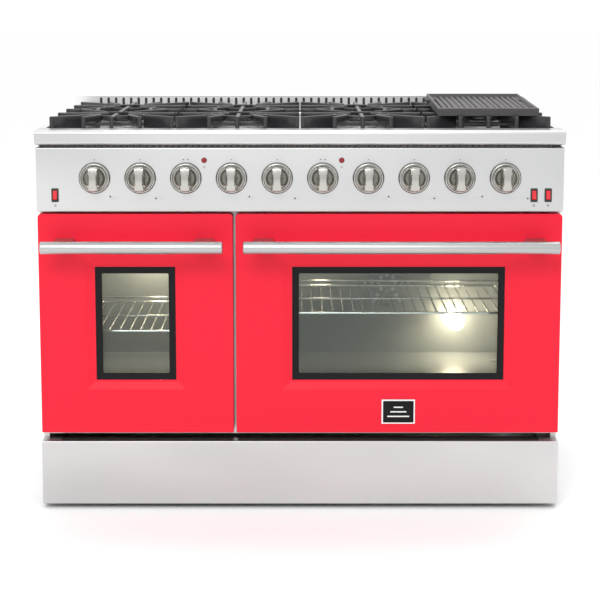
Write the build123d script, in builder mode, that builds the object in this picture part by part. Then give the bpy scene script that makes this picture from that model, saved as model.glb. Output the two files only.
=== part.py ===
from build123d import *
import os
from math import cos, radians, sin

os.makedirs("parts", exist_ok=True)

# Overall sizes: +X is the range's right, +Y its back, and it stands on Z = 0
width = 1219.0
rim_height = 900.0          # floor to the cooktop's rim
body_depth = 702.0          # rail's face to the back of the guard
sheet = 1.5                 # stainless and painted sheet
contact_gap = 0.2           # between nested pieces of one body
body_gap = 0.4              # between bodies that only rest on each other
running = 0.05              # radial clearance of a turning pin

# Doors
door_setback = 15.0         # behind the rail's face
door_back = 50.0
door_bottom = 185.0
door_gap = 6.0              # under the control panel
door_edge = 1.5             # from the range's side to a door
door_split = 6.5            # between the doors
left_door_width = 452.0
door_corner = 9.0
skin_depth = 33.0
window_outer = 108.0        # door's outer side to the window's bevel
window_inner = {"left": 112.5, "right": 109.0}   # door's inner side to the window's bevel
window_low = 104.0
window_high = 103.0
bevel = 17.0
bevel_margin = 5.0          # flat strip between the bevel and the glass
window_sink = 6.0
glass = 4.0
glass_lap = 6.0
handle_diameter = 29.0
handle_standoff = 75.0      # door's face to the bar's axis
handle_outer = 17.5
handle_inner = 20.0
handle_drop = 67.5          # door's top to the bar's axis
bracket_width = 52.0
bracket_height = 20.0
bracket_inset = 19.0
hinge_rise = 5.0            # pin above the door's bottom
hinge_setback = 30.0
hinge_inset = 60.0
hinge_pin = 3.0             # radius
arm_width = 10.0
arm_radius = 6.0
badge_size = (79.0, 59.0)
badge_centre = (81.5, 51.0)  # from the right door's middle towards its hinge side, and its bottom

# Front, from the rail down
rail_drop = 33.0
rail_depth = 70.0
rail_corner = 7.0
vent_height = 7.0
panel_setback = 9.0
panel_height = 148.5
panel_inset = 1.5
side_setback = 53.0
frame_setback = 56.0
frame_low = 172.0
kick_low = 11.0
kick_high = 164.0
body_low = 25.0

# Knobs and switches
knob_count = 10
knob_pitch = 105.2
knob_drop = 70.4            # panel's top to the knobs' axis
knob_radius = 28.5
knob_face = 21.0            # skirt's front, in front of the panel
grip_width = 25.0
grip_depth = 20.0
bezel_gap = 1.8
bezel_width = 6.0
stem_radius = 4.0
switch_size = (16.6, 31.8)
paddle_size = (9.2, 20.6)
paddle_tilt = 8.0
switch_drop = 110.0
left_switch = 44.5          # from the range's left side
right_switches = (69.5, 37.0)   # from its right side
lamp_places = (-220.5, 96.0)
lamp_drop = 29.0
lamp_radius = 6.5

# Ovens
oven_side = 76.0            # range's left edge to the left cavity
left_oven_width = 300.0
right_oven_width = 600.0
right_oven_side = 80.5      # right cavity to the range's right edge
oven_floor = 262.0
oven_drop = 55.5            # doors' top to the cavities' top
oven_back = 520.0
insulation = 22.0
burner_box = 50.0           # room for the burner under an oven's floor
rack_front = 110.0
rack_depth = 358.0
rack_pitch = 25.0
rack_wire = 2.0
rack_frame = 3.0
rack_upstand = 15.0
rack_side = 11.5            # cavity wall to the rack's side wire
left_rack_rise = 147.0
right_rack_rise = 191.0
fan_radius = 85.0
fan_shaft = 4.0
lamp_bulb = 17.0

# Cooktop
pan_sink = 8.0
pan_side = 14.5
pan_back = 42.0
guard_height = 41.0
guard_depth = 33.0
slot_pitch = 20.4
slot_size = (6.9, 25.0)
slot_count = 54
grate_pitch = 294.4
grate_width = 290.0
grate_front = 82.0
grate_depth = 530.0
grate_top = 26.0            # above the rim
bar_width = 9.0
bar_height = 12.0
post_width = 10.0
burner_rows = (132.0, 397.0)
burner_cap_radius = 44.5
burner_head_radius = 40.0
burner_top = 14.0           # cap above the rim
griddle_size = (237.0, 350.0, 18.5)
griddle_front = 104.0
griddle_tilt = 2.1
griddle_rim = 9.0
griddle_floor = 9.0
ridge_count = 15

# Places that follow from those sizes
half = width / 2
handle_reach = handle_standoff + handle_diameter / 2 - door_setback
rail_y = handle_reach - (body_depth + handle_reach) / 2
rail_bottom = rim_height - rail_drop
panel_top = rail_bottom - vent_height
panel_bottom = panel_top - panel_height
side_top = rail_bottom
pan_floor = rim_height - pan_sink
knob_z = panel_top - knob_drop
bezel_radius = knob_radius + bezel_gap + bezel_width
knob_xs = [(i - (knob_count - 1) / 2) * knob_pitch for i in range(knob_count)]
door_top = panel_bottom - door_gap
hinge_z = door_bottom + hinge_rise
left_door = (-half + door_edge, -half + door_edge + left_door_width)
right_door = (left_door[1] + door_split, half - door_edge)
left_oven = (-half + oven_side, -half + oven_side + left_oven_width)
right_oven = (half - right_oven_side - right_oven_width, half - right_oven_side)
oven_top = door_top - oven_drop
oven_height = oven_top - oven_floor
switch_places = (-half + left_switch, half - right_switches[0], half - right_switches[1])
grate_xs = [(i - 1.5) * grate_pitch for i in range(4)]


def y_at(setback):
    """Y of a plane this far behind the rail's face."""
    return rail_y + setback


def facing(setback):
    """Upright plane at a setback, looking forward, with local x right and local y up."""
    return Plane.XZ.offset(-y_at(setback))


def level(z):
    return Plane.XY.offset(z)


def block(x, setback, z, mode=Mode.ADD):
    """Box between two limits along X, behind the rail's face and along Z."""
    middle = ((x[0] + x[1]) / 2, y_at((setback[0] + setback[1]) / 2), (z[0] + z[1]) / 2)
    with Locations(middle):
        Box(x[1] - x[0], setback[1] - setback[0], z[1] - z[0], mode=mode)


def panel_rectangle(x, z, corner=0):
    """Rectangle on a plane that faces forward, between limits along X and Z."""
    with Locations(((x[0] + x[1]) / 2, (z[0] + z[1]) / 2)):
        if corner:
            RectangleRounded(x[1] - x[0], z[1] - z[0], corner)
        else:
            Rectangle(x[1] - x[0], z[1] - z[0])


def grow(limits, amount):
    return (limits[0] - amount, limits[1] + amount)


# ---------------------------------------------------------------- body

with BuildPart() as side_panels:
    for side in (-1, 1):
        outer = side * half
        inner = side * (half - sheet)
        lip = side * (half - 13)
        span = (min(outer, inner), max(outer, inner))
        returns = (min(outer, lip), max(outer, lip))
        block(span, (side_setback, body_depth), (body_low, side_top))
        block(returns, (side_setback, side_setback + sheet), (body_low, side_top))
        block(returns, (body_depth - sheet, body_depth), (body_low, side_top))
side_panels.part.label = "side_panels"
export_step(side_panels.part, "parts/side_panels.step")

# The feet stand under the base pan, near its corners
base_low = 60.0
base_lip = 30.0
base_front = side_setback + 7
base_back = body_depth - 12
foot_setbacks = (110.0, body_depth - 62)
foot_x = half - 49.5
inside = half - sheet - 0.5
foot_radius = 20.0
foot_stem = 8.0

with BuildPart() as base_pan:
    block((-inside, inside), (base_front, base_back), (base_low, base_low + base_lip))
    pan_hollow = inside - sheet
    block((-pan_hollow, pan_hollow), (base_front + sheet, base_back - sheet),
          (base_low + sheet, base_low + base_lip + 1), mode=Mode.SUBTRACT)
    with BuildSketch(level(base_low)):
        with Locations(*[(x, y_at(s)) for x in (-foot_x, foot_x) for s in foot_setbacks]):
            Circle(foot_stem + contact_gap)
    extrude(amount=sheet, mode=Mode.SUBTRACT)
base_pan.part.label = "base_pan"
export_step(base_pan.part, "parts/base_pan.step")

with BuildPart() as levelling_legs:
    for x in (-foot_x, foot_x):
        for setback in foot_setbacks:
            with Locations((x, y_at(setback), 0)):
                Cylinder(foot_radius, 7, align=(Align.CENTER, Align.CENTER, Align.MIN))
                Cylinder(foot_stem, base_low + 22, align=(Align.CENTER, Align.CENTER, Align.MIN))
            with BuildSketch(level(base_low - 9)):
                with Locations((x, y_at(setback))):
                    RegularPolygon(15, 6)
            extrude(amount=9)
    chamfer(levelling_legs.edges().group_by(Axis.Z)[0], 1)
levelling_legs.part.label = "levelling_legs"
export_step(levelling_legs.part, "parts/levelling_legs.step")

with BuildPart() as kick_plate:
    kick_x = half - 0.5
    block((-kick_x, kick_x), (door_setback, side_setback), (kick_low, kick_high))
    fillet(kick_plate.faces().sort_by(Axis.Y)[0].edges().filter_by(Axis.X), 2.5)
    block((-kick_x + sheet, kick_x - sheet), (door_setback + sheet, side_setback + 1),
          (kick_low - 1, kick_high - sheet), mode=Mode.SUBTRACT)
kick_plate.part.label = "kick_plate"
export_step(kick_plate.part, "parts/kick_plate.step")

# The back panel lies in front of the side panels' rear returns
gas_setback = body_depth - 32      # riser's axis
gas_x = half - 28.5
gas_z = 150.0
pipe_radius = 10.67                # outside of half inch pipe
gland_x = -450.0
gland_radius = 11.0

with BuildPart() as back_panel:
    back_setback = body_depth - sheet - 2.0
    block((-inside, inside), (back_setback - sheet, back_setback), (body_low, side_top - 0.5))
    with BuildSketch(facing(back_setback)):
        with Locations((gas_x, gas_z)):
            RectangleRounded(50, 70, 20)
        with Locations((gland_x, gas_z)):
            Circle(gland_radius)
        for vent_row in range(4):
            with Locations((0, side_top - 60 - vent_row * 14)):
                with GridLocations(46, 0, 18, 1):
                    SlotOverall(36, 6)
    extrude(amount=sheet, mode=Mode.SUBTRACT)
back_panel.part.label = "back_panel"
export_step(back_panel.part, "parts/back_panel.step")

with BuildPart() as front_frame:
    frame_top = panel_bottom - 2.5
    block((-inside, inside), (frame_setback, frame_setback + 2 * sheet), (frame_low, frame_top))
    block((-inside, inside), (frame_setback, frame_setback + 20), (frame_low, frame_low + sheet))
    block((-inside, inside), (frame_setback, frame_setback + 20), (frame_top - sheet, frame_top))
    for oven in (left_oven, right_oven):
        block(oven, (frame_setback - 1, frame_setback + 30), (oven_floor, oven_top),
              mode=Mode.SUBTRACT)
front_frame.part.label = "front_frame"
export_step(front_frame.part, "parts/front_frame.step")

# ---------------------------------------------------------------- front, above the doors

with BuildPart() as front_rail:
    with BuildSketch(Plane.YZ.offset(-half)):
        with Locations((y_at(rail_depth / 2), rim_height - rail_drop / 2)):
            Rectangle(rail_depth, rail_drop)
    extrude(amount=width)
    fillet(front_rail.faces().sort_by(Axis.Y)[0].edges().filter_by(Axis.X), rail_corner)
    fillet(front_rail.faces().sort_by(Axis.Y)[0].edges().filter_by(Axis.Z), 2)
    block((-half + sheet, half - sheet), (rail_corner + sheet, rail_depth - sheet),
          (rail_bottom - 1, rim_height - sheet), mode=Mode.SUBTRACT)
front_rail.part.label = "front_rail"
export_step(front_rail.part, "parts/front_rail.step")

with BuildPart() as vent_strip:
    vent_x = half - 9.5
    vent_z = (panel_top + contact_gap, rail_bottom - contact_gap)
    block((-vent_x, vent_x), (14, 15.5), vent_z)
    block((-vent_x, vent_x), (14, side_setback - 1), (vent_z[1] - sheet, vent_z[1]))
    with BuildSketch(facing(14)):
        with Locations((0, (panel_top + rail_bottom) / 2)):
            with GridLocations(15, 0, int(2 * vent_x / 15) - 1, 1):
                SlotOverall(12, 3.5)
    extrude(amount=-sheet, mode=Mode.SUBTRACT)
vent_strip.part.label = "vent_strip"
export_step(vent_strip.part, "parts/vent_strip.step")

panel_x = (-half + panel_inset, half - panel_inset)
panel_z = (panel_bottom, panel_top)
with BuildPart() as control_panel:
    block(panel_x, (panel_setback, side_setback), panel_z)
    fillet(control_panel.faces().sort_by(Axis.Y)[0].edges().filter_by(Axis.X), 2.5)
    block(grow(panel_x, -sheet), (panel_setback + sheet, side_setback + 1), grow(panel_z, -sheet),
          mode=Mode.SUBTRACT)
    with BuildSketch(facing(panel_setback)):
        with Locations(*[(x, knob_z) for x in knob_xs]):
            Circle(stem_radius + 2)
        with Locations(*[(x, panel_top - switch_drop) for x in switch_places]):
            Rectangle(switch_size[0] - 3, switch_size[1] - 4)
        with Locations(*[(x, panel_top - lamp_drop) for x in lamp_places]):
            Circle(lamp_radius - 1.5)
    extrude(amount=-sheet, mode=Mode.SUBTRACT)
control_panel.part.label = "control_panel"
export_step(control_panel.part, "parts/control_panel.step")

# ---------------------------------------------------------------- knobs, switches, lamps

with BuildPart() as knob_bezels:
    with BuildSketch(facing(panel_setback)):
        with Locations(*[(x, knob_z) for x in knob_xs]):
            Circle(bezel_radius)
    extrude(amount=4.5)
    with BuildSketch(facing(panel_setback - 4.5)):
        with Locations(*[(x, knob_z) for x in knob_xs]):
            Circle(bezel_radius - 2.5)
    extrude(amount=3)
    with BuildSketch(facing(panel_setback)):
        with Locations(*[(x, knob_z) for x in knob_xs]):
            Circle(knob_radius + bezel_gap)
    extrude(amount=10, mode=Mode.SUBTRACT)
    chamfer(knob_bezels.edges().group_by(Axis.Y)[0], 1)
knob_bezels.part.label = "knob_bezels"
export_step(knob_bezels.part, "parts/knob_bezels.step")

knob_back = panel_setback - 1.5
skirt_front = panel_setback - knob_face
grip_front = skirt_front - grip_depth
bore_end = skirt_front - 2.5
for number, x in enumerate(knob_xs, start=1):
    with BuildPart() as knob:
        with BuildSketch(facing(knob_back)):
            with Locations((x, knob_z)):
                Circle(knob_radius)
        extrude(amount=knob_back - skirt_front)
        chamfer(knob.edges().group_by(Axis.Y)[0], 2)
        with BuildSketch(facing(knob_back)):
            with Locations((x, knob_z)):
                Circle(knob_radius)
                Rectangle(grip_width, 2 * knob_radius, mode=Mode.INTERSECT)
        extrude(amount=knob_back - grip_front)
        fillet(knob.faces().sort_by(Axis.Y)[0].edges(), 3)
        with BuildSketch(facing(knob_back)):
            with Locations((x, knob_z)):
                Circle(stem_radius + running)
        extrude(amount=knob_back - bore_end, mode=Mode.SUBTRACT)
    knob.part.label = f"knob_{number}"
    export_step(knob.part, f"parts/knob_{number}.step")

# Valves hang on the manifold behind the panel and reach through it into the knobs
manifold_setback = panel_setback + 52
valve_front = panel_setback + 9
nipple_radius = 4.5
valve_size = (24.0, 34.0)
with BuildPart() as gas_valves:
    for x in knob_xs:
        valve_x = (x - valve_size[0] / 2, x + valve_size[0] / 2)
        valve_z = (knob_z - valve_size[1] / 2, knob_z + valve_size[1] / 2)
        block(valve_x, (valve_front, manifold_setback - pipe_radius - 4), valve_z)
        with BuildSketch(facing(valve_front)):
            with Locations((x, knob_z)):
                Circle(stem_radius)
        extrude(amount=valve_front - bore_end - 0.5)
        with BuildSketch(facing(manifold_setback - pipe_radius - 4)):
            with Locations((x, knob_z)):
                Circle(nipple_radius)
        extrude(amount=-6)
gas_valves.part.label = "gas_valves"
export_step(gas_valves.part, "parts/gas_valves.step")

# One pipe: along the valves, back beside the right oven, down behind it and out at the back
manifold_end = knob_xs[0] - 30
with BuildPart() as gas_manifold:
    with BuildLine() as pipe_path:
        FilletPolyline(
            (manifold_end, y_at(manifold_setback), knob_z),
            (gas_x, y_at(manifold_setback), knob_z),
            (gas_x, y_at(gas_setback - 40), knob_z),
            (gas_x, y_at(gas_setback - 40), gas_z),
            (gas_x, y_at(body_depth - 1), gas_z),
            radius=28,
        )
    with BuildSketch(Plane(origin=pipe_path.line @ 0, z_dir=pipe_path.line % 0)):
        Circle(pipe_radius)
        Circle(pipe_radius - 2.8, mode=Mode.SUBTRACT)
    sweep()
    with BuildSketch(facing(manifold_setback - pipe_radius - 1)):
        with Locations(*[(x, knob_z) for x in knob_xs]):
            Circle(nipple_radius + running)
    extrude(amount=-5, mode=Mode.SUBTRACT)
    with Locations((manifold_end, y_at(manifold_setback), knob_z)):
        Cylinder(pipe_radius + 2, 12, rotation=(0, 90, 0))
gas_manifold.part.label = "gas_manifold"
export_step(gas_manifold.part, "parts/gas_manifold.step")

switch_z = panel_top - switch_drop
paddle_setback = panel_setback + 1
paddle_room = (paddle_size[0] + 1.2, paddle_size[1] + 2.6)
with BuildPart() as switch_frames:
    with BuildSketch(facing(panel_setback - 2)):
        with Locations(*[(x, switch_z) for x in switch_places]):
            RectangleRounded(*switch_size, 2)
    extrude(amount=-2)
    with BuildSketch(facing(panel_setback)):
        with Locations(*[(x, switch_z) for x in switch_places]):
            Rectangle(switch_size[0] - 3.4, switch_size[1] - 4.4)
    extrude(amount=-24)
    with BuildSketch(facing(panel_setback - 3)):
        with Locations(*[(x, switch_z) for x in switch_places]):
            Rectangle(*paddle_room)
    extrude(amount=-16, mode=Mode.SUBTRACT)
    with Locations(*[(x, y_at(paddle_setback), switch_z) for x in switch_places]):
        Cylinder(1.2 + running, 12.6, rotation=(0, 90, 0), mode=Mode.SUBTRACT)
switch_frames.part.label = "switch_frames"
export_step(switch_frames.part, "parts/switch_frames.step")

for number, x in enumerate(switch_places, start=1):
    tilted = Plane(
        origin=(x, y_at(paddle_setback), switch_z),
        x_dir=(1, 0, 0),
        z_dir=(0, -cos(radians(paddle_tilt)), sin(radians(paddle_tilt))),
    )
    with BuildPart(tilted) as rocker:
        Box(paddle_size[0], paddle_size[1], 9)
        fillet(rocker.edges().filter_by(Axis.X), 1)
        Cylinder(1.2, 12.2, rotation=(0, 90, 0))
    rocker.part.label = f"rocker_{number}"
    export_step(rocker.part, f"parts/rocker_{number}.step")

with BuildPart() as indicator_lamps:
    for x in lamp_places:
        with BuildSketch(facing(panel_setback)):
            with Locations((x, panel_top - lamp_drop)):
                Circle(lamp_radius)
        extrude(amount=3)
        with BuildSketch(facing(panel_setback)):
            with Locations((x, panel_top - lamp_drop)):
                Circle(lamp_radius - 1.5 - contact_gap)
        extrude(amount=-22)
    fillet(indicator_lamps.edges().group_by(Axis.Y)[0], 2)
indicator_lamps.part.label = "indicator_lamps"
export_step(indicator_lamps.part, "parts/indicator_lamps.step")

# ---------------------------------------------------------------- doors

hinge_plates = []
door_names = {"left": left_door, "right": right_door}
window_z = (door_bottom + window_low, door_top - window_high)
slot_room = arm_width / 2 + 1.2
arm_room = arm_radius + 2.0
for side, door_x in door_names.items():
    low_side = window_outer if side == "left" else window_inner[side]
    high_side = window_inner[side] if side == "left" else window_outer
    window_x = (door_x[0] + low_side, door_x[1] - high_side)
    sunk_x = grow(window_x, -bevel)
    sunk_z = grow(window_z, -bevel)
    glass_x = grow(sunk_x, -bevel_margin)
    glass_z = grow(sunk_z, -bevel_margin)
    hinge_xs = (door_x[0] + hinge_inset, door_x[1] - hinge_inset)
    hinge_plates.extend(hinge_xs)
    door_z = (door_bottom, door_top)

    with BuildPart() as door_skin:
        with BuildSketch(facing(door_setback)):
            panel_rectangle(door_x, door_z)
        extrude(amount=-skin_depth)
        top_corners = door_skin.edges().filter_by(Axis.Y).group_by(Axis.Z)[-1]
        fillet(top_corners, door_corner)
        fillet(door_skin.edges().filter_by(Axis.Y).group_by(Axis.Z)[0], 2.5)
        fillet(door_skin.faces().sort_by(Axis.Y)[0].edges(), 1.2)
        with BuildSketch(facing(door_setback + sheet)):
            panel_rectangle(grow(door_x, -sheet), grow(door_z, -sheet), door_corner - sheet)
        extrude(amount=-skin_depth, mode=Mode.SUBTRACT)
        with BuildSketch(facing(door_setback + sheet / 2)):
            panel_rectangle(grow(window_x, sheet), grow(window_z, sheet))
        with BuildSketch(facing(door_setback + window_sink + sheet)):
            panel_rectangle(grow(sunk_x, sheet), grow(sunk_z, sheet))
        loft()
        with BuildSketch(facing(door_setback)):
            panel_rectangle(window_x, window_z)
        with BuildSketch(facing(door_setback + window_sink)):
            panel_rectangle(sunk_x, sunk_z)
        loft(mode=Mode.SUBTRACT)
        with BuildSketch(facing(door_setback)):
            panel_rectangle(glass_x, glass_z)
        extrude(amount=-skin_depth, mode=Mode.SUBTRACT)
        for x in hinge_xs:
            block((x - slot_room, x + slot_room), (door_setback + 5, door_back + 1),
                  (door_bottom - 1, door_bottom + 3), mode=Mode.SUBTRACT)
    door_skin.part.label = f"{side}_door_skin"
    export_step(door_skin.part, f"parts/{side}_door_skin.step")

    liner_x = grow(door_x, -sheet - contact_gap)
    liner_z = grow(door_z, -sheet - contact_gap)
    liner_front = door_back - 14
    inner_x = grow(glass_x, -7)
    inner_z = grow(glass_z, -7)
    with BuildPart() as door_liner:
        with BuildSketch(facing(liner_front)):
            panel_rectangle(liner_x, liner_z, door_corner - sheet)
        extrude(amount=liner_front - door_back)
        with BuildSketch(facing(liner_front)):
            panel_rectangle(grow(liner_x, -sheet), grow(liner_z, -sheet), door_corner - 2 * sheet)
        extrude(amount=liner_front - door_back + sheet, mode=Mode.SUBTRACT)
        with BuildSketch(facing(liner_front)):
            panel_rectangle(inner_x, inner_z)
        extrude(amount=liner_front - door_back, mode=Mode.SUBTRACT)
        for x in hinge_xs:
            ear_z = (liner_z[0], hinge_z + arm_room + 6)
            block((x - 17, x + 17), (hinge_setback - 7, door_back - 1), ear_z)
            block((x - slot_room, x + slot_room), (hinge_setback - arm_room, door_back + 1),
                  (door_bottom - 1, hinge_z + arm_room), mode=Mode.SUBTRACT)
            with Locations((x, y_at(hinge_setback), hinge_z)):
                Cylinder(hinge_pin, 30, rotation=(0, 90, 0))
    door_liner.part.label = f"{side}_door_liner"
    export_step(door_liner.part, f"parts/{side}_door_liner.step")

    outer_pane = door_setback + window_sink + sheet + contact_gap
    inner_pane = door_back - sheet - contact_gap
    with BuildPart() as door_glass:
        block(grow(glass_x, glass_lap), (outer_pane, outer_pane + glass), grow(glass_z, glass_lap))
        block(grow(inner_x, glass_lap), (inner_pane - glass, inner_pane), grow(inner_z, glass_lap))
    door_glass.part.label = f"{side}_door_glass"
    export_step(door_glass.part, f"parts/{side}_door_glass.step")

    handle_low = handle_outer if side == "left" else handle_inner
    handle_high = handle_inner if side == "left" else handle_outer
    handle_x = (door_x[0] + handle_low, door_x[1] - handle_high)
    handle_z = door_top - handle_drop
    bar_setback = door_setback - handle_standoff
    with BuildPart() as door_handle:
        with Locations(((handle_x[0] + handle_x[1]) / 2, y_at(bar_setback), handle_z)):
            Cylinder(handle_diameter / 2, handle_x[1] - handle_x[0], rotation=(0, 90, 0))
        fillet(door_handle.edges().filter_by(GeomType.CIRCLE), 2.5)
        foot_offset = bracket_inset + bracket_width / 2
        with BuildSketch(facing(door_setback)):
            with Locations((handle_x[0] + foot_offset, handle_z), (handle_x[1] - foot_offset, handle_z)):
                RectangleRounded(bracket_width, bracket_height, 8)
        extrude(amount=handle_standoff)
    door_handle.part.label = f"{side}_door_handle"
    export_step(door_handle.part, f"parts/{side}_door_handle.step")

with BuildPart() as badge:
    badge_x = (right_door[0] + right_door[1]) / 2 + 2
    badge_z = door_bottom + badge_centre[1]
    with BuildSketch(facing(door_setback)):
        with Locations((badge_x, badge_z)):
            RectangleRounded(*badge_size, 1.5)
    extrude(amount=2.5)
    chamfer(badge.faces().sort_by(Axis.Y)[0].edges(), 0.8)
badge.part.label = "badge"
export_step(badge.part, "parts/badge.step")

# Arms on the frame carry the doors' pins, rounded so that a door swings down round them
with BuildPart() as hinge_brackets:
    for x in hinge_plates:
        block((x - arm_width / 2, x + arm_width / 2), (hinge_setback, frame_setback - 3),
              (hinge_z - arm_radius, hinge_z + arm_radius))
        with Locations((x, y_at(hinge_setback), hinge_z)):
            Cylinder(arm_radius, arm_width, rotation=(0, 90, 0))
            Cylinder(hinge_pin + running, arm_width + 2, rotation=(0, 90, 0), mode=Mode.SUBTRACT)
        block((x - 16, x + 16), (frame_setback - 3, frame_setback), (frame_low + 1, frame_low + 32))
hinge_brackets.part.label = "hinge_brackets"
export_step(hinge_brackets.part, "parts/hinge_brackets.step")

gasket_width = 10.0
with BuildPart() as door_gaskets:
    for oven in (left_oven, right_oven):
        with BuildSketch(facing(door_back + body_gap)):
            panel_rectangle(grow(oven, gasket_width + 2), grow((oven_floor, oven_top), gasket_width + 2), 14)
            with BuildSketch(facing(door_back + body_gap), mode=Mode.SUBTRACT):
                panel_rectangle(grow(oven, 2), grow((oven_floor, oven_top), 2), 4)
        extrude(amount=door_back + body_gap - frame_setback)
door_gaskets.part.label = "door_gaskets"
export_step(door_gaskets.part, "parts/door_gaskets.step")

# ---------------------------------------------------------------- ovens

liner_front_setback = frame_setback + 2 * sheet
lamp_spots = {"left": [(0.5, 0.74)], "right": [(0.8, 0.25), (0.21, 0.86)]}
fan_x = (right_oven[0] + right_oven[1]) / 2
fan_z = (oven_floor + oven_top) / 2
socket_radius = 13.0


def lamp_points(side, oven):
    """Lamps of one oven, as shares of its width and height."""
    return [(oven[0] + a * (oven[1] - oven[0]), oven_floor + b * oven_height) for a, b in lamp_spots[side]]


ovens = {"left": left_oven, "right": right_oven}
for side, oven in ovens.items():
    with BuildPart() as oven_liner:
        block(grow(oven, sheet), (liner_front_setback, oven_back + sheet), grow((oven_floor, oven_top), sheet))
        block(grow(oven, 14), (liner_front_setback, liner_front_setback + sheet),
              grow((oven_floor, oven_top), 14))
        block(oven, (liner_front_setback - 1, oven_back), (oven_floor, oven_top), mode=Mode.SUBTRACT)
        with BuildSketch(facing(oven_back)):
            with Locations(*lamp_points(side, oven)):
                Circle(socket_radius + contact_gap)
            if side == "right":
                with Locations((fan_x, fan_z)):
                    Circle(fan_shaft + 3)
        extrude(amount=-2 * sheet, mode=Mode.SUBTRACT)
        with BuildSketch(level(oven_floor)):
            with Locations(((oven[0] + oven[1]) / 2, y_at((liner_front_setback + oven_back) / 2))):
                with GridLocations(oven[1] - oven[0] - 40, 40, 2, 9):
                    SlotOverall(24, 5)
        extrude(amount=-2 * sheet, mode=Mode.SUBTRACT)
    oven_liner.part.label = f"{side}_oven_liner"
    export_step(oven_liner.part, f"parts/{side}_oven_liner.step")

with BuildPart() as oven_insulation:
    for side, oven in ovens.items():
        core_x = grow(oven, sheet + contact_gap)
        core_z = (oven_floor - burner_box, oven_top + sheet + contact_gap)
        core_back = oven_back + sheet + contact_gap
        wrap_front = liner_front_setback + 20
        block(grow(core_x, insulation), (wrap_front, core_back + insulation), grow(core_z, insulation))
        block(core_x, (wrap_front - 1, core_back), core_z, mode=Mode.SUBTRACT)
        with BuildSketch(facing(core_back)):
            with Locations(*lamp_points(side, oven)):
                Circle(socket_radius + 2)
            if side == "right":
                with Locations((fan_x, fan_z)):
                    Circle(fan_shaft + 6)
        extrude(amount=-insulation, mode=Mode.SUBTRACT)
oven_insulation.part.label = "oven_insulation"
export_step(oven_insulation.part, "parts/oven_insulation.step")

with BuildPart() as oven_lamps:
    for side, oven in ovens.items():
        for x, z in lamp_points(side, oven):
            with BuildSketch(facing(oven_back)):
                with Locations((x, z)):
                    Circle(socket_radius)
            extrude(amount=-insulation - 20)
            with BuildSketch(facing(oven_back - 4)):
                with Locations((x, z)):
                    Circle(lamp_bulb + 5)
            extrude(amount=-4)
            with Locations((x, y_at(oven_back - 14), z)):
                Sphere(lamp_bulb)
oven_lamps.part.label = "oven_lamps"
export_step(oven_lamps.part, "parts/oven_lamps.step")

# Ladders of wire on the side walls carry the racks
ladder_levels = 5
rail_radius = 2.5
rack_rises = {"left": left_rack_rise, "right": right_rack_rise}
rail_drop_below = rail_radius + rack_frame + body_gap
upright_inset = 4.0
with BuildPart() as rack_guides:
    for side, oven in ovens.items():
        levels = [oven_floor + rack_rises[side] - rail_drop_below + 55 * (i - 2) for i in range(ladder_levels)]
        for wall, inward in ((oven[0], 1), (oven[1], -1)):
            upright_x = wall + inward * upright_inset
            rail_x = wall + inward * (upright_inset + rail_radius + 2)
            for z in levels:
                with Locations((rail_x, y_at(rack_front + rack_depth / 2), z)):
                    Cylinder(rail_radius, rack_depth + 30, rotation=(90, 0, 0))
            for setback in (rack_front + 20, rack_front + rack_depth - 10):
                with Locations((upright_x, y_at(setback), levels[2])):
                    Cylinder(3, levels[-1] - levels[0] + 24)
rack_guides.part.label = "rack_guides"
export_step(rack_guides.part, "parts/rack_guides.step")

for side, oven in ovens.items():
    rack_z = oven_floor + rack_rises[side]
    side_x = (oven[0] + rack_side, oven[1] - rack_side)
    rack_back = rack_front + rack_depth
    wires = int((side_x[1] - side_x[0]) / rack_pitch)
    front_y = y_at(rack_front)
    back_y = y_at(rack_back)
    with BuildPart() as rack:
        with BuildLine() as frame_path:
            FilletPolyline(
                (side_x[0], front_y, rack_z), (side_x[1], front_y, rack_z),
                (side_x[1], back_y, rack_z), (side_x[0], back_y, rack_z),
                radius=12, close=True,
            )
        with BuildSketch(Plane(origin=frame_path.wires()[0] @ 0, z_dir=frame_path.wires()[0] % 0)):
            Circle(rack_frame)
        sweep(path=frame_path.wires()[0])
        with BuildLine() as stop_path:
            FilletPolyline(
                (side_x[0], back_y - 14, rack_z), (side_x[0], back_y - 14, rack_z + rack_upstand),
                (side_x[1], back_y - 14, rack_z + rack_upstand), (side_x[1], back_y - 14, rack_z),
                radius=7,
            )
        with BuildSketch(Plane(origin=stop_path.line @ 0, z_dir=stop_path.line % 0)):
            Circle(rack_frame - 0.4)
        sweep(path=stop_path.wires()[0])
        with BuildSketch(Plane.YZ.offset(side_x[0])):
            with Locations(((front_y + back_y) / 2, rack_z)):
                Circle(rack_wire + 0.5)
        extrude(amount=side_x[1] - side_x[0])
        with BuildSketch(facing(rack_front)):
            with Locations(((side_x[0] + side_x[1]) / 2, rack_z)):
                with GridLocations(rack_pitch, 0, wires, 1):
                    Circle(rack_wire)
        extrude(amount=-rack_depth)
    rack.part.label = f"{side}_oven_rack"
    export_step(rack.part, f"parts/{side}_oven_rack.step")

tube_radius = 8.0
tube_z = oven_floor - sheet - 24
with BuildPart() as oven_burners:
    for oven in (left_oven, right_oven):
        near = oven[0] + 50
        far = oven[1] - 50
        with BuildLine() as tube_path:
            FilletPolyline(
                (near, y_at(100), tube_z), (near, y_at(oven_back - 50), tube_z),
                (far, y_at(oven_back - 50), tube_z), (far, y_at(100), tube_z),
                radius=40,
            )
        with BuildSketch(Plane(origin=tube_path.line @ 0, z_dir=tube_path.line % 0)):
            Circle(tube_radius)
        sweep()
        for x in (near, far):
            block((x - 6, x + 6), (150, 156), (tube_z, oven_floor - sheet))
oven_burners.part.label = "oven_burners"
export_step(oven_burners.part, "parts/oven_burners.step")

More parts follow.
